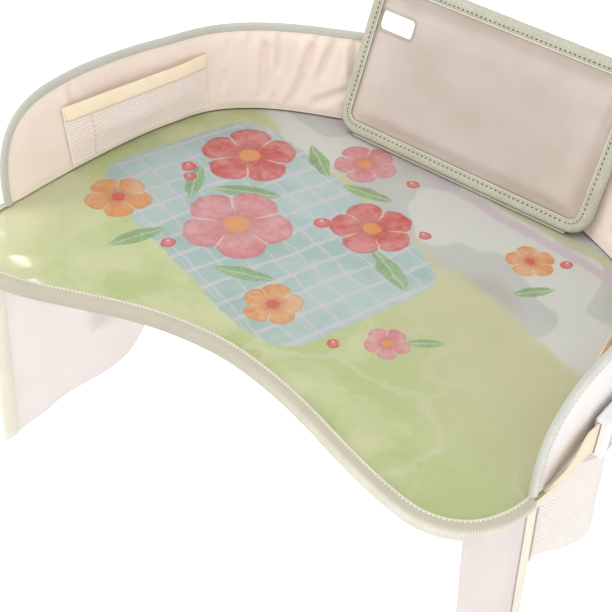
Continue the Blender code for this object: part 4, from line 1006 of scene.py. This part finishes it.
def inner_puff(distance, rise):
    """How far the inner cloth stands in from the wall's inner face."""
    share = wall_share(distance)
    ends = eased((from_wall_end(distance) - CAP_DEPTH) / 0.020)
    loose = eased((share - 0.595) / 0.05) * eased((0.77 - share) / 0.03)
    slow = 0.00035 * drift(distance * 26.0, rise * 1.6, 4.0)
    crown = 0.0012 + 0.0012 * loose + slow - fold_depth(distance, rise)
    return max(crown, -0.0004) * ends * eased(rise * 8.0 + 0.05) * eased((0.99 - rise) * 9.0)


def outer_swell(distance, rise):
    """How far the outer cloth swells above the strap's line."""
    swell = 0.0009 * eased((rise * wall_top(distance) - 0.026) / 0.010) * eased((0.93 - rise) * 12.0)
    swell *= eased((from_wall_end(distance) - 0.006) / 0.02)
    return swell * (1.0 + 0.5 * drift(distance * 40.0, rise * 2.0, 1.0))


def wall_cover(name, apart, sides, look, nodes):
    """A closed cover from its sides, each given by its rises and by out(distance, rise, taper)."""
    rings, marks = [], wall_along(apart)
    for distance in marks:
        top = wall_top(distance)
        ring = []
        for rises, out in sides:
            for rise in rises:
                taper = wall_taper(distance, top * rise)
                ring.append(wall_place(distance, out(distance, rise, taper), top * rise))
        rings.append(ring)
    return loft(name, rings, marks, look, "tray", nodes, flip=True)


def make_wall():
    """The padded wall: inner cloth with its folds, and the plainer outer cloth."""
    inner = wall_cover(
        "wall_inner_cloth", 0.0012,
        ((INNER_RISES, lambda distance, rise, taper: taper - inner_puff(distance, rise)),
         ((1.0, 0.66, 0.33, 0.0), lambda distance, rise, taper: WALL_COVER)),
        "inner", ["wall_inner_cover", "wall_core"])
    outer = wall_cover(
        "wall_outer_cloth", 0.0024,
        (((0.0, 0.33, 0.66, 0.8, 0.9, 1.0), lambda distance, rise, taper: WALL_BACK_IN - 0.8 * taper),
         (OUTER_RISES, lambda distance, rise, taper: WALL_OUT + outer_swell(distance, rise) - taper)),
        "outer", ["wall_outer_cover"])


def cap_frames():
    """Even places of the wall's top edge, as (mark, (distance, height), direction away from the wall)."""
    ends = []
    for k in range(CAP_END_STEPS + 1):
        angle = pi / 2 * k / CAP_END_STEPS
        ends.append((WALL_END_ROUNDING * (1 - cos(angle) ** (2 / END_POWER)),
                     WALL_HEIGHT * sin(angle) ** (2 / END_POWER)))
    level = spread(WALL_START + WALL_END_ROUNDING, WALL_END - WALL_END_ROUNDING, LEVEL_STEP)[1:-1]
    line = [Vector((WALL_START + run, rise)) for run, rise in ends]
    line += [Vector((place, WALL_HEIGHT)) for place in level]
    line += [Vector((WALL_END - run, rise)) for run, rise in reversed(ends)]
    marks = marks_along(line)
    even = spread(0.0, marks[-1], RIB / 2)
    spots = [point_along(line, marks, mark) for mark in even]
    frames = []
    for index, (mark, spot) in enumerate(zip(even, spots)):
        along = (spots[min(index + 3, len(spots) - 1)] - spots[max(index - 3, 0)]).normalized()
        if index < 2:
            along = Vector((0.0, 1.0))
        elif index > len(spots) - 3:
            along = Vector((0.0, -1.0))
        frames.append((mark, spot, Vector((-along.y, along.x))))
    return frames


def cap_place(place, out, crest):
    """A point of the top binding, at a distance beyond the wall's edge."""
    _, spot, away = place
    return wall_place(spot.x + away.x * crest, out, spot.y + away.y * crest)


def make_wall_cap():
    """Binding folded over the wall's top edge and down both ends, with stitches on both faces."""
    inner, outer = WALL_TAPER - SEAM_GAP, WALL_OUT - WALL_TAPER + SEAM_GAP
    low_in, low_out = inner - CAP_THICKNESS, outer + CAP_THICKNESS
    middle, half = (low_in + low_out) / 2, (low_out - low_in) / 2
    foot = -CAP_DEPTH
    pairs = [(low_in + 0.0002, foot), (low_in, foot + TAPE_SKIN), (low_in, -0.0016), (low_in, CAP_SHOULDER)]
    for step in range(1, 10):
        angle = pi * step / 10
        pairs.append((middle - half * cos(angle), CAP_SHOULDER + CAP_CREST * sin(angle) ** 0.8))
    pairs += [(low_out, CAP_SHOULDER), (low_out, -0.0016), (low_out, foot + TAPE_SKIN),
              (low_out - 0.0002, foot), (outer, foot), (outer, SEAM_GAP), (inner, SEAM_GAP), (inner, foot)]

    def ring(place, press):
        points = []
        for index, (out, crest) in enumerate(pairs):
            if index < CAP_RIBBED:
                out += press if out < middle else -press
                crest -= press * (crest > 0)
            points.append(cap_place(place, out, crest))
        return points

    frames = cap_frames()
    marks = [mark for mark, _, _ in frames]
    loft("wall_top_tape", ribbed(frames, ring, RIB_DEPTH), marks, "sage", "tray",
         ["wall_top_binding"], flip=True)
    threads = []
    for k in range(4, len(frames) - 6, 6):
        outward = SEAM.outward(frames[k][1].x).to_3d()
        for face, away in ((low_in - 0.00002, -outward), (low_out + 0.00002, outward)):
            threads.append((*[cap_place(frames[m], face, foot + 0.0007) for m in (k, k + 4)], away))
    stitches("wall_top_stitches", threads, "thread_sage", "tray", 0.0004, 0.00022)


def pocket_swell(share):
    """The band is taut, so it bridges the hollow of the wall in one even bow."""
    return POCKET_BELLY * max(4 * share * (1 - share), 0.0) ** 0.8


def make_pocket(side, near_end, direction):
    """Net pocket with its elastic band, sewn down at both ends and at one divider."""
    net_top = BAND_TOP - BAND_WIDTH - SEAM_GAP

    def along(share):
        return near_end + direction * POCKET_LENGTH * share

    def net_place(across, up):
        swell = pocket_swell(across) * eased(up * 1.6)
        slack = 0.0006 * drift(across * 9.0, up * 1.5, 6.0) * sin(pi * up) * min(1.0, swell / 0.003)
        height = POCKET_FLOOR + (net_top - POCKET_FLOOR) * up
        return wall_place(along(across), -NET_STANDOFF - swell + slack, height)

    def band_place(across, up):
        gather = GATHER * sin(across * POCKET_LENGTH * 2 * pi / GATHER_PITCH)
        bow = 0.0004 * sin(pi * up)
        out = -BAND_STANDOFF - pocket_swell(across) + gather - bow
        return wall_place(along(across), out, BAND_TOP - BAND_WIDTH * (1 - up))

    net_size, band_size = (POCKET_LENGTH, net_top - POCKET_FLOOR), (POCKET_LENGTH, BAND_WIDTH)
    net = finished(net_mesh(f"pocket_net_{side}", 74, 17, net_place, net_size, 0.22), "pocket_net",
                   "tray", [f"inner_pocket_net_{side}"], 0.0005)
    band = finished(sheet_mesh(f"pocket_band_{side}", 212, 8, band_place, band_size), "band",
                    "tray", [f"inner_pocket_band_{side}"], 0.0010)

    rows = ((band_place, 0.012, 6, 0.85), (band_place, 0.988, 6, 0.85), (net_place, DIVIDER_SHARE, 9, 0.80))
    threads = []
    for place, share, count, stop in rows:
        away = -SEAM.outward(along(share)).to_3d()
        for step in range(count):
            ends = [place(share, (step + part) / count) + away * 0.0005 for part in (0.15, stop)]
            threads.append((*ends, away))
    stitches(f"pocket_stitches_{side}", threads, "thread_tan", "tray", 0.0004, 0.0002)


# Holder

BACK_COLUMNS, BACK_ROWS = 76, 44
CELL_SIDES = ((0, -1), (1, 0), (0, 1), (-1, 0))
HOLE_TAPE = (
    (-0.0016, BACK_FRONT - 0.0001), (-0.0013, BACK_FRONT - 0.0004), (0.0, BACK_FRONT - 0.0005),
    (0.0004, BACK_FRONT), (0.0004, BACK_REAR), (0.0, BACK_REAR + 0.0003), (-0.0013, BACK_REAR + 0.0002),
    (-0.0016, BACK_REAR),
)
PIPING_RADIUS, PIPING_OUT, PIPING_UP = 0.0005, 0.0006, 0.0004
HINGE_COVERED = 0.30


def holder_point(x, y, z):
    """A point of the holder's own upright plane, turned back about its hinge."""
    return Matrix.Rotation(-HOLDER_TILT, 3, "X") @ Vector((x, y, z)) + HOLDER_AXIS


def holder_place(place, depth, out):
    """A point in from a place of an outline in the holder's plane, and out from that plane."""
    _, spot, inward = place
    point = spot + inward * depth
    return holder_point(point.x, out, point.y)


def holder_box(inset):
    """Lowest and highest corner of the holder's outline, drawn in by an inset."""
    low = Vector((HOLDER_SHIFT - HOLDER_WIDTH / 2 + inset, -HOLDER_HALF + inset))
    high = Vector((HOLDER_SHIFT + HOLDER_WIDTH / 2 - inset, -HOLDER_HALF + HOLDER_HEIGHT - inset))
    return low, high


def holder_hole():
    """Lowest and highest corner of the camera hole."""
    top = holder_box(HOLDER_INSET)[1].y
    low = Vector((holder_box(0.0)[0].x + HOLE_FROM_SIDE, top - HOLE_FROM_TOP - HOLE_HEIGHT / 2))
    return low, low + Vector((HOLE_WIDTH, HOLE_HEIGHT))


def rounded_box(low, high, radius, steps):
    """Points round a rectangle with arcs at its corners, counter-clockwise."""
    left, right, bottom, top = low.x + radius, high.x - radius, low.y + radius, high.y - radius
    corners = ((right, bottom, -pi / 2), (right, top, 0.0), (left, top, pi / 2), (left, bottom, pi))
    return [Vector(pair) for x, y, start in corners for pair in arc((x, y), radius, start, pi / 2, steps)]


def ring_frames(points, apart):
    """Even places round a closed outline, an even number of them, as (mark, spot, direction inwards)."""
    marks = marks_along(points, closed=True)
    count = round(marks[-1] / apart / 2) * 2
    even = [marks[-1] * k / count for k in range(count)]
    spots = [point_along(points, marks, mark) for mark in even]
    frames = []
    for k, (mark, spot) in enumerate(zip(even, spots)):
        along = (spots[(k + 2) % count] - spots[k - 2]).normalized()
        frames.append((mark, spot, Vector((-along.y, along.x))))
    return frames


def grid_lines(low, high, cells, edges):
    """Even lines from low to high, the nearest ones moved on to the hole's two edges."""
    lines = spread(low, high, (high - low) / cells)
    for edge in edges:
        nearest = min(range(len(lines)), key=lambda k: abs(lines[k] - edge))
        lines[nearest] = edge
    return lines


def rounded_in(x, z, low, high, corner):
    """A point of the plane drawn in to the rounded corners of a box."""
    inner = Vector((clamp(x, low.x + corner, high.x - corner), clamp(z, low.y + corner, high.y - corner)))
    off = Vector((x, z)) - inner
    return inner + (off.normalized() * corner if off.length > corner else off)


def make_holder_back():
    """Padded back panel with its camera hole, from a grid that is closed round both."""
    low, high = holder_box(HOLDER_INSET)
    hole_low, hole_high = holder_hole()
    centre, half = (hole_low + hole_high) / 2, (hole_high - hole_low) / 2

    def padding(x, z, spot):
        off = spot - centre
        reach = max(abs(off.x) / half.x, abs(off.y) / half.y)
        from_edge = min(spot.x - low.x, high.x - spot.x, spot.y - low.y, high.y - spot.y)
        puff = 0.0004 * eased((from_edge - 0.006) / 0.02) * eased((reach - 1.0) * 1.5)
        return puff + abs(0.00045 * drift(x * 34.0 + z * 9.0, z * 20.0, 5.0) * eased(from_edge / 0.01))

    grid_x = grid_lines(low.x, high.x, BACK_COLUMNS, (hole_low.x, hole_high.x))
    grid_z = grid_lines(low.y, high.y, BACK_ROWS, (hole_low.y, hole_high.y))
    grid = [(x, z, rounded_in(x, z, low, high, HOLDER_CORNER - HOLDER_INSET)) for z in grid_z for x in grid_x]
    points = [holder_point(spot.x, BACK_FRONT - padding(x, z, spot), spot.y) for x, z, spot in grid]
    points += [holder_point(spot.x, BACK_REAR, spot.y) for _, _, spot in grid]
    stride, layer = len(grid_x), len(grid)
    cells = {}
    for j in range(len(grid_z) - 1):
        for i in range(stride - 1):
            x, z = (grid_x[i] + grid_x[i + 1]) / 2, (grid_z[j] + grid_z[j + 1]) / 2
            if not (hole_low.x < x < hole_high.x and hole_low.y < z < hole_high.y):
                a = j * stride + i
                cells[(i, j)] = (a, a + 1, a + stride + 1, a + stride)
    faces = []
    for (i, j), corners in cells.items():
        faces += [corners, tuple(layer + corner for corner in reversed(corners))]
        for k, (di, dj) in enumerate(CELL_SIDES):
            if (i + di, j + dj) not in cells:
                first, second = corners[k], corners[(k + 1) % 4]
                faces.append((second, first, first + layer, second + layer))
    mesh = mesh_from("holder_padded_back", points, faces, [tuple(spot) for _, _, spot in grid] * 2)
    piece = finished(mesh, "holder", "holder", ["holder_back"])


def make_camera_hole_tape():
    """Narrow tape folded over the camera hole's edge."""
    frames = ring_frames(rounded_box(*holder_hole(), HOLE_CORNER, 6), 0.0008)
    rings = [[holder_place(place, depth, out) for depth, out in HOLE_TAPE] for place in frames]
    marks = [mark for mark, _, _ in frames]
    loft("camera_hole_tape", rings, marks, "holder_tape", "holder", closed=True)


def make_holder_window():
    """Clear sleeve front that stands off the back panel, open at its left side."""
    low, high = holder_box(HOLDER_INSET)
    open_side = low.x - HOLDER_INSET + HOLDER_CORNER
    back_face = BACK_FRONT - SEAM_GAP - WINDOW / 2
    seam, corner = HOLDER_BINDING - HOLDER_INSET, HOLDER_CORNER - HOLDER_INSET

    def place(across, up):
        x = open_side + (high.x - open_side) * across
        z = low.y + (high.y - low.y) * up
        nearest = min(high.x - x, z - low.y, high.y - z)
        middle = Vector((high.x - corner, clamp(z, low.y + corner, high.y - corner)))
        off = Vector((x, z)) - middle
        if off.x > 0:
            off = off.normalized() * min(off.length, corner)
            x, z = middle + off
            nearest = corner - off.length
        slack = SLEEVE_DEPTH - 0.0004 * drift(x * 24.0, z * 24.0, 2.0)
        return holder_point(x, back_face - slack * eased((nearest - seam) / SLEEVE_RAMP), z)

    mesh = sheet_mesh("holder_clear_window", 84, 56, place, (high.x - open_side, high.y - low.y))
    window = finished(mesh, "window", "holder", ["holder_window"])


def make_holder_binding():
    """Tape folded round the holder's edge, with a row of dark stitches on its face and a piping inside."""
    half, width, inner = HOLDER_HALF, HOLDER_BINDING, HOLDER_HALF - HOLDER_TAPE
    face = [(width, -half + TAPE_SKIN), (width - TAPE_SKIN, -half), (width * 0.6, -half - 0.0001),
            (half, -half)]
    pairs = face + arc((half, 0.0), half, -pi / 2, -pi, 8)[1:-1] + mirrored(face)
    pairs += [(width, inner), (HOLDER_TAPE, inner), (HOLDER_TAPE, -inner), (width, -inner)]

    def ring(place, press):
        return [holder_place(place, depth, out) for depth, out in pinched(pairs, range(1, 14), press)]

    frames = ring_frames(rounded_box(*holder_box(0.0), HOLDER_CORNER, 16), RIB / 2)
    marks = [mark for mark, _, _ in frames]
    loft("holder_binding_tape", ribbed(frames, ring, FINE_RIB_DEPTH), marks, "sage_deep",
         "holder", ["holder_binding"], closed=True, flip=True)

    away = holder_point(0, -1, 0) - holder_point(0, 0, 0)
    threads = []
    for k in range(0, len(frames) - 4, 6):
        ends = [holder_place(frames[m], width - 0.0016, -half - THREAD_LIFT) for m in (k, k + 3)]
        threads.append((*ends, away))
    stitches("holder_stitches", threads, "thread_dark", "holder", 0.0009, 0.00022)

    circle = arc((width + PIPING_OUT, -half + PIPING_UP), PIPING_RADIUS, 0.0, 2 * pi, 8)[:-1]
    rings = [[holder_place(place, depth, out) for depth, out in circle] for place in frames[::2]]
    loft("holder_piping", rings, [k * RIB for k in range(len(rings))], "piping", "holder",
         closed=True)


def make_hinge_tape():
    """Tape that joins the holder's lower edge to the deck."""
    low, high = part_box("holder_hinge_tape")
    low.y += (high.y - low.y) * HINGE_COVERED

    def place(across, up):
        x, y = low.x + (high.x - low.x) * across, low.y + (high.y - low.y) * up
        return Vector((x, y, (low.z + high.z) / 2 + 0.00008 * sin(x * 2 * pi / RIB)))

    columns = round((high.x - low.x) / RIB) * 4
    mesh = sheet_mesh("hinge_tape", columns, 4, place, (high.x - low.x, high.y - low.y))
    tape = finished(mesh, "sage_deep", "tray", ["holder_hinge_tape"], 0.0007)


# Wings

WING_SKIN, EDGE_SETBACK = 0.0011, 0.0013
EDGE_FULL, EDGE_HALF, EDGE_STITCH, EDGE_PITCH = 0.0021, 0.0011, 0.0022, 0.0032
LEFT_START = LEFT_FRONT + EDGE_SETBACK
LEFT_INNER, RIGHT_INNER = LEFT_WIDTH - EDGE_SETBACK, RIGHT_WIDTH - EDGE_SETBACK
RIGHT_REAR = RIGHT_FRONT + RIGHT_WIDTH
HEM_STEPS, HEM_OUT, HEM_UP, HEM_LOW = 60, 0.0010, 0.0026, 0.0018


def wing_fold(from_edge, width, depth, drop, bound):
    """How far the hanging cloth swings out in its soft folds, which grow from the bound edge and the seam."""
    share = max((from_edge - bound) / (width - bound), 0.0)
    fine = 0.0005 * drift(from_edge * 40.0, depth * 22.0, 7.0) * eased(depth * 30) * eased(share * 6)
    return WING_FOLD_DEPTH * sin(pi * 2.5 * share) * eased(share * 4) * eased(depth / drop) + fine


def left_fold(from_front, depth):
    return -wing_fold(from_front, LEFT_WIDTH, depth, LEFT_DROP, LEFT_EDGE + WING_CORNER / 2)


def right_fold(from_front, depth):
    return wing_fold(RIGHT_INNER - from_front, RIGHT_WIDTH, depth, RIGHT_DROP, RIGHT_EDGE + 0.001)


def wing_depth(drop, up):
    """Depth below the wing's axis; its upper edge stands half a cloth above it."""
    above = WING_CLOTH / 2
    return (drop + above) * (1 - up) - above


def make_left_wing():
    """Left wing with its rounded lower rear corner, edge tape and net."""
    def place(across, up):
        from_front = LEFT_INNER * across
        corner = clamp((from_front - (LEFT_INNER - WING_CORNER)) / WING_CORNER)
        shorter = WING_CORNER * (1 - (1 - corner ** 2) ** 0.5) * 0.8
        depth = wing_depth(LEFT_DROP - shorter, up)
        return Vector((-WING_X + left_fold(from_front, depth), LEFT_START + from_front, WING_AXIS_Z - depth))

    mesh = sheet_mesh("left_wing_cloth_painted_lighter", 96, 80, place, (LEFT_INNER, LEFT_DROP))
    # The lighter copy of the wing cloth is painted light.
    panel = finished(mesh, "wing_painted_lighter", "left_wing", ["wing_left_panel"], WING_SKIN)
    wing_edge("left_wing", (-WING_X, LEFT_FRONT), LEFT_EDGE, LEFT_DROP, 0.0, 1, "wing_left_edge")
    front = LEFT_FRONT + LEFT_WIDTH - 0.004 - NET_WIDTH
    wing_net("left_wing", (-WING_X, front), -1, 0.0,
             lambda along, depth: left_fold(front - LEFT_START + along, depth), "wing_left_net")


def make_right_wing():
    """Right wing, which swings back as it hangs, with its edge tape and the net behind it."""
    def place(across, up):
        depth, from_front = wing_depth(RIGHT_DROP, up), RIGHT_INNER * across
        return Vector((WING_X + right_fold(from_front, depth), RIGHT_FRONT + from_front + RIGHT_SWING * depth,
                       WING_AXIS_Z - depth))

    mesh = sheet_mesh("right_wing_cloth", 60, 90, place, (RIGHT_INNER, RIGHT_DROP))
    panel = finished(mesh, "wing", "right_wing", ["wing_right_panel"], WING_SKIN)
    wing_edge("right_wing", (WING_X, RIGHT_REAR), RIGHT_EDGE, RIGHT_DROP, RIGHT_SWING, -1, "wing_right_edge")

    def back_place(across, up):
        depth = (NET_DROP + SEAM_GAP) * (1 - up)
        y = RIGHT_REAR + SEAM_GAP + NET_WIDTH * across + RIGHT_SWING * depth
        return Vector((WING_X, y, WING_AXIS_Z - depth))

    mesh = sheet_mesh("right_pocket_back_cloth", 30, 50, back_place, (NET_WIDTH, NET_DROP))
    back = finished(mesh, "wing", "right_wing", ["wing_right_pocket_back"], WING_SKIN)
    wing_net("right_wing", (WING_X, RIGHT_REAR + SEAM_GAP + 0.001), 1, RIGHT_SWING,
             lambda along, depth: 0.0, "wing_right_net")


def wing_edge(body, corner, width, drop, swing, inward, node):
    """Cream tape folded over a hanging edge, with stitches on both faces; corner is its (x, y)."""
    full, half = EDGE_FULL, EDGE_HALF
    face = [(width, -full + TAPE_SKIN), (width - TAPE_SKIN, -full), (width * 0.5, -full - 0.0001),
            (0.0013, -full), (0.0004, -full * 0.8), (0.0, -full * 0.4)]
    pairs = face + mirrored(face) + [(width, half), (0.0010, half), (0.0010, -half), (width, -half)]

    def place(depth, along, out):
        return Vector((corner[0] + out, corner[1] + inward * along + swing * depth, WING_AXIS_Z - depth))

    def ring(depth, press):
        return [place(depth, along, out) for along, out in pinched(pairs, range(12), press)]

    marks = spread(2 * full, drop + SEAM_GAP, RIB / 2)
    loft(body + "_edge_tape", ribbed(marks, ring, FINE_RIB_DEPTH), marks, "cream", body,
         [node], flip=inward < 0)
    threads = []
    for depth in spread(0.008, drop - 0.004, EDGE_PITCH)[:-1]:
        for sign in (-1, 1):
            out = sign * (full + 0.00008)
            ends = [place(down, width - 0.0016, out) for down in (depth, depth + EDGE_STITCH)]
            threads.append((*ends, STRAIGHT * sign))
    stitches(body + "_edge_stitches", threads, "thread_pale", body)


def wing_net(body, corner, side, swing, fold, node):
    """Bulging net pocket with a soft hem along its open top; corner is its (x, y)."""
    clear = WING_CLOTH / 2 + SEAM_GAP + 0.0005

    def place(across, up):
        depth = NET_DROP - (NET_DROP - NET_TOP) * up
        swell = NET_BULGE * max(sin(pi * across), 0.0) ** 0.7 * eased(up * 6)
        swell *= 1.0 + 0.05 * drift(across * 3.0, up * 3.0, 3.0)
        x = corner[0] + fold(NET_WIDTH * across, depth) + side * (clear + swell)
        return Vector((x, corner[1] + NET_WIDTH * across + swing * depth, WING_AXIS_Z - depth))

    mesh = net_mesh(body + "_net_cloth", 40, 60, place, (NET_WIDTH * 1.25, NET_DROP - NET_TOP), 0.25)
    net = finished(mesh, "net", body, [node], 0.0006)
    rings = []
    for k in range(HEM_STEPS + 1):
        across = k / HEM_STEPS
        along = place(min(across + 0.01, 1.0), 1.0) - place(max(across - 0.01, 0.0), 1.0)
        out = along.normalized().cross(UP).normalized()
        rings.append([place(across, 1.0) + out * (HEM_OUT * cosine) + UP * (HEM_UP * sine - HEM_LOW)
                      for cosine, sine in arc((0.0, 0.0), 1.0, 0.0, 2 * pi, 10)[:-1]])
    loft(body + "_net_hem", rings, [k * 0.0012 for k in range(HEM_STEPS + 1)], "wing", body)


def make_wing_tapes():
    """The tapes under the deck that the wings hang from."""
    for side in ("left", "right"):
        low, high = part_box(f"wing_tape_{side}")
        run = high - low

        def place(across, up):
            return Vector((low.x + run.x * across, low.y + run.y * up, (low.z + high.z) / 2))

        mesh = sheet_mesh(f"wing_tape_{side}_cloth", 8, 60, place, (run.x, run.y))
        tape = finished(mesh, "cream_flat", "tray", [f"wing_tape_{side}"], 0.0012)


# Strap and buckle

STRAP_FALLEN, STRAP_SUNK, STRAP_NARROW = radians(24), 0.0016, 0.78
STRAP_FROM_END, STRAP_RUN_IN, STRAP_TAIL = 0.006, 0.040, 0.012
BUCKLE_NODES = ("buckle_socket", "buckle_plug", "buckle_prong_lower", "buckle_prong_upper")


def webbing_section(width):
    """Section of webbing with rounded edges, as (out, up) pairs from its inner lower corner."""
    half = STRAP_THICKNESS / 2
    rises = [half + (width - STRAP_THICKNESS) * step / 8 for step in range(1, 8)]
    return (arc((half, half), half, pi, pi, 4) + [(STRAP_THICKNESS, rise) for rise in rises]
            + arc((half, width - half), half, 0.0, pi, 4) + [(0.0, rise) for rise in reversed(rises)])


def webbing_piece(name, places, body, node):
    """Webbing through (foot, up, out, width) places, with ribs across its outer face."""
    def ring(place, press):
        foot, up, out, width = place
        return [foot + out * (a - press * (4 < k < 12)) + up * b
                for k, (a, b) in enumerate(webbing_section(width))]

    marks = marks_along([foot for foot, _, _, _ in places])
    loft(name, ribbed(places, ring, FINE_RIB_DEPTH), marks, "webbing", body, [node])


def beside_wall(distance, low, crest):
    """Where the webbing's foot stands when it lies against the leaning wall."""
    lean = lean_at(clamp(wall_share(distance))) * (crest + 2 * STRAP_THICKNESS - WALL_FLOOR) / WALL_HEIGHT
    return SEAM.place(distance, WALL_OUT + max(lean, 0.0) + SEAM_GAP, low)


def make_strap_right():
    """Short webbing that has fallen back at its slit and is drawn straight into the socket."""
    low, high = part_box("strap_plug")
    first = WALL_START + STRAP_FROM_END
    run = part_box("strap_right")[1].y - SEAM.point(first).y
    places = []
    for share in spread(0.0, 1.0, 0.014):
        distance = first + run * share
        beside = beside_wall(distance, low.z, high.z)
        pull, loose = eased(share * 1.2), 1.0 - eased(share * 1.5)
        foot = beside.lerp(Vector((low.x, beside.y, low.z)), pull) - UP * STRAP_SUNK * loose
        out = SEAM.outward(distance).to_3d().lerp(STRAIGHT, pull).normalized()
        fallen = STRAP_FALLEN * loose
        lean_up, lean_out = UP * cos(fallen) + out * sin(fallen), out * cos(fallen) - UP * sin(fallen)
        width = STRAP_WIDTH * (STRAP_NARROW + (1 - STRAP_NARROW) * eased(share * 2.0))
        places.append((foot, lean_up, lean_out, width))
    webbing_piece("strap_right_webbing", places, "tray", "strap_right")


def straight_webbing(x, start, end, low, apart):
    """Places of webbing that runs straight back."""
    return [(Vector((x, y, low)), UP, STRAIGHT, STRAP_WIDTH) for y in spread(start, end, apart)]


def make_strap_plug():
    """The webbing's end in the plug."""
    low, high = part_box("strap_plug")
    places = straight_webbing(low.x, low.y, high.y, low.z, 0.0008)
    webbing_piece("strap_plug_webbing", places, "plug", "strap_plug")


def make_strap_long():
    """Long webbing from the plug's end round the outside of the wall."""
    low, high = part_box("strap_plug")
    x = low.x - STRAP_THICKNESS - SEAM_GAP
    places = straight_webbing(x, high.y - STRAP_TAIL, high.y, low.z, 0.001)
    leave = WALL_START
    while SEAM.point(leave).y < high.y:
        leave += 0.001
    for distance in spread(leave + 0.001, WALL_END - STRAP_FROM_END, 0.0011):
        beside = beside_wall(distance, low.z, high.z)
        back_in = eased((distance - leave) / STRAP_RUN_IN)
        foot = (beside + STRAIGHT * max(x - beside.x, 0.0)).lerp(beside, back_in)
        out = STRAIGHT.lerp(SEAM.outward(distance).to_3d(), back_in).normalized()
        places.append((foot, UP, out, STRAP_WIDTH))
    webbing_piece("strap_long_webbing", places, "tray", "strap_long")


def dress_solids():
    """Looks of the solids that are shown as they are."""
    for nodes, look in ((BUCKLE_NODES, "white"), (("core_board",), "board")):
        for node in nodes:
            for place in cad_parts[node].material_slots:
                place.material = LOOKS[look]


# Camera, light and floor

PHOTO_WIDTH, FOCAL_PIXELS, SENSOR = 612, 1359.58, 36.0
CAMERA_PLACE = Vector((0.34784, -0.53186, 0.50212))
CAMERA_RIGHT = Vector((0.78719318, 0.61376161, 0.06019628))
CAMERA_UP = Vector((-0.43211696, 0.47929915, 0.76390265))
FLOOR_HALF, FLOOR_HEIGHT = 6.0, -0.1775
LIGHTS = (
    ("key", (-1.1, -0.7, 0.8), (0.0, 0.0, 0.0), 1.2, 5.6),
    ("fill", (0.95, -0.95, 0.35), (0.0, 0.0, 0.0), 1.4, 3.8),
    ("glint", (-0.81, 0.424, 0.685), (-0.14, -0.13, 0.0), 0.045, 0.07),
)


def make_camera():
    camera = bpy.data.cameras.new("camera")
    camera.sensor_width = SENSOR
    camera.lens = SENSOR * FOCAL_PIXELS / PHOTO_WIDTH
    stand = bpy.data.objects.new("camera", camera)
    axes = Matrix((CAMERA_RIGHT, CAMERA_UP, CAMERA_RIGHT.cross(CAMERA_UP))).transposed().to_4x4()
    stand.matrix_world = Matrix.Translation(CAMERA_PLACE) @ axes
    bpy.context.scene.collection.objects.link(stand)
    bpy.context.scene.camera = stand


def area_light(name, place, target, size, power):
    light = bpy.data.lights.new(name, "AREA")
    light.shape = "DISK"
    light.size = size
    light.energy = power
    lamp = bpy.data.objects.new(name, light)
    lamp.location = place
    lamp.rotation_euler = (Vector(target) - Vector(place)).to_track_quat("-Z", "Y").to_euler()
    bpy.context.scene.collection.objects.link(lamp)


def make_world():
    """Plain white surroundings."""
    world = bpy.data.worlds.new("studio")
    bpy.context.scene.world = world
    world.use_nodes = True
    shine = world.node_tree.nodes["Background"]
    shine.inputs["Color"].default_value = (1.0, 1.0, 1.0, 1.0)
    shine.inputs["Strength"].default_value = 1.0


def make_floor():
    """Pale floor: white to the camera, and it keeps the object's shadow."""
    half, height = FLOOR_HALF, FLOOR_HEIGHT
    corners = [(-half, -half, height), (half, -half, height), (half, half, height), (-half, half, height)]
    mesh = bpy.data.meshes.new("floor")
    mesh.from_pydata(corners, [], [(0, 1, 2, 3)])
    floor = bpy.data.objects.new("floor", mesh)
    bpy.context.scene.collection.objects.link(floor)
    look = Look("floor_paper", 0.9)
    look.colour(look.mix(look.noise(4.0, 2.0) * 0.2, linear((240, 240, 240)), linear((236, 236, 236))))
    glow = look.add("ShaderNodeEmission")
    seen = look.ray("Is Camera Ray").most(look.ray("Is Glossy Ray")).most(look.ray("Is Transmission Ray"))
    look.feed(glow.inputs["Strength"], seen * 0.45)
    look.blend(None, look.shader, glow)
    mesh.materials.append(look.material)


make_camera()
make_world()
make_floor()
for settings in LIGHTS:
    area_light(*settings)
LOOKS.update(make_looks())
make_deck()
make_front_binding()
make_rim()
make_wall()
make_wall_cap()
make_pocket("right", WALL_START + POCKET_FROM_WALL_END, 1)
make_pocket("left", WALL_END - POCKET_FROM_WALL_END, -1)
make_holder_back()
make_camera_hole_tape()
make_holder_window()
make_holder_binding()
make_hinge_tape()
make_wing_tapes()
make_left_wing()
make_right_wing()
make_strap_right()
make_strap_plug()
make_strap_long()
dress_solids()

bpy.context.scene.view_settings.view_transform = "Standard"
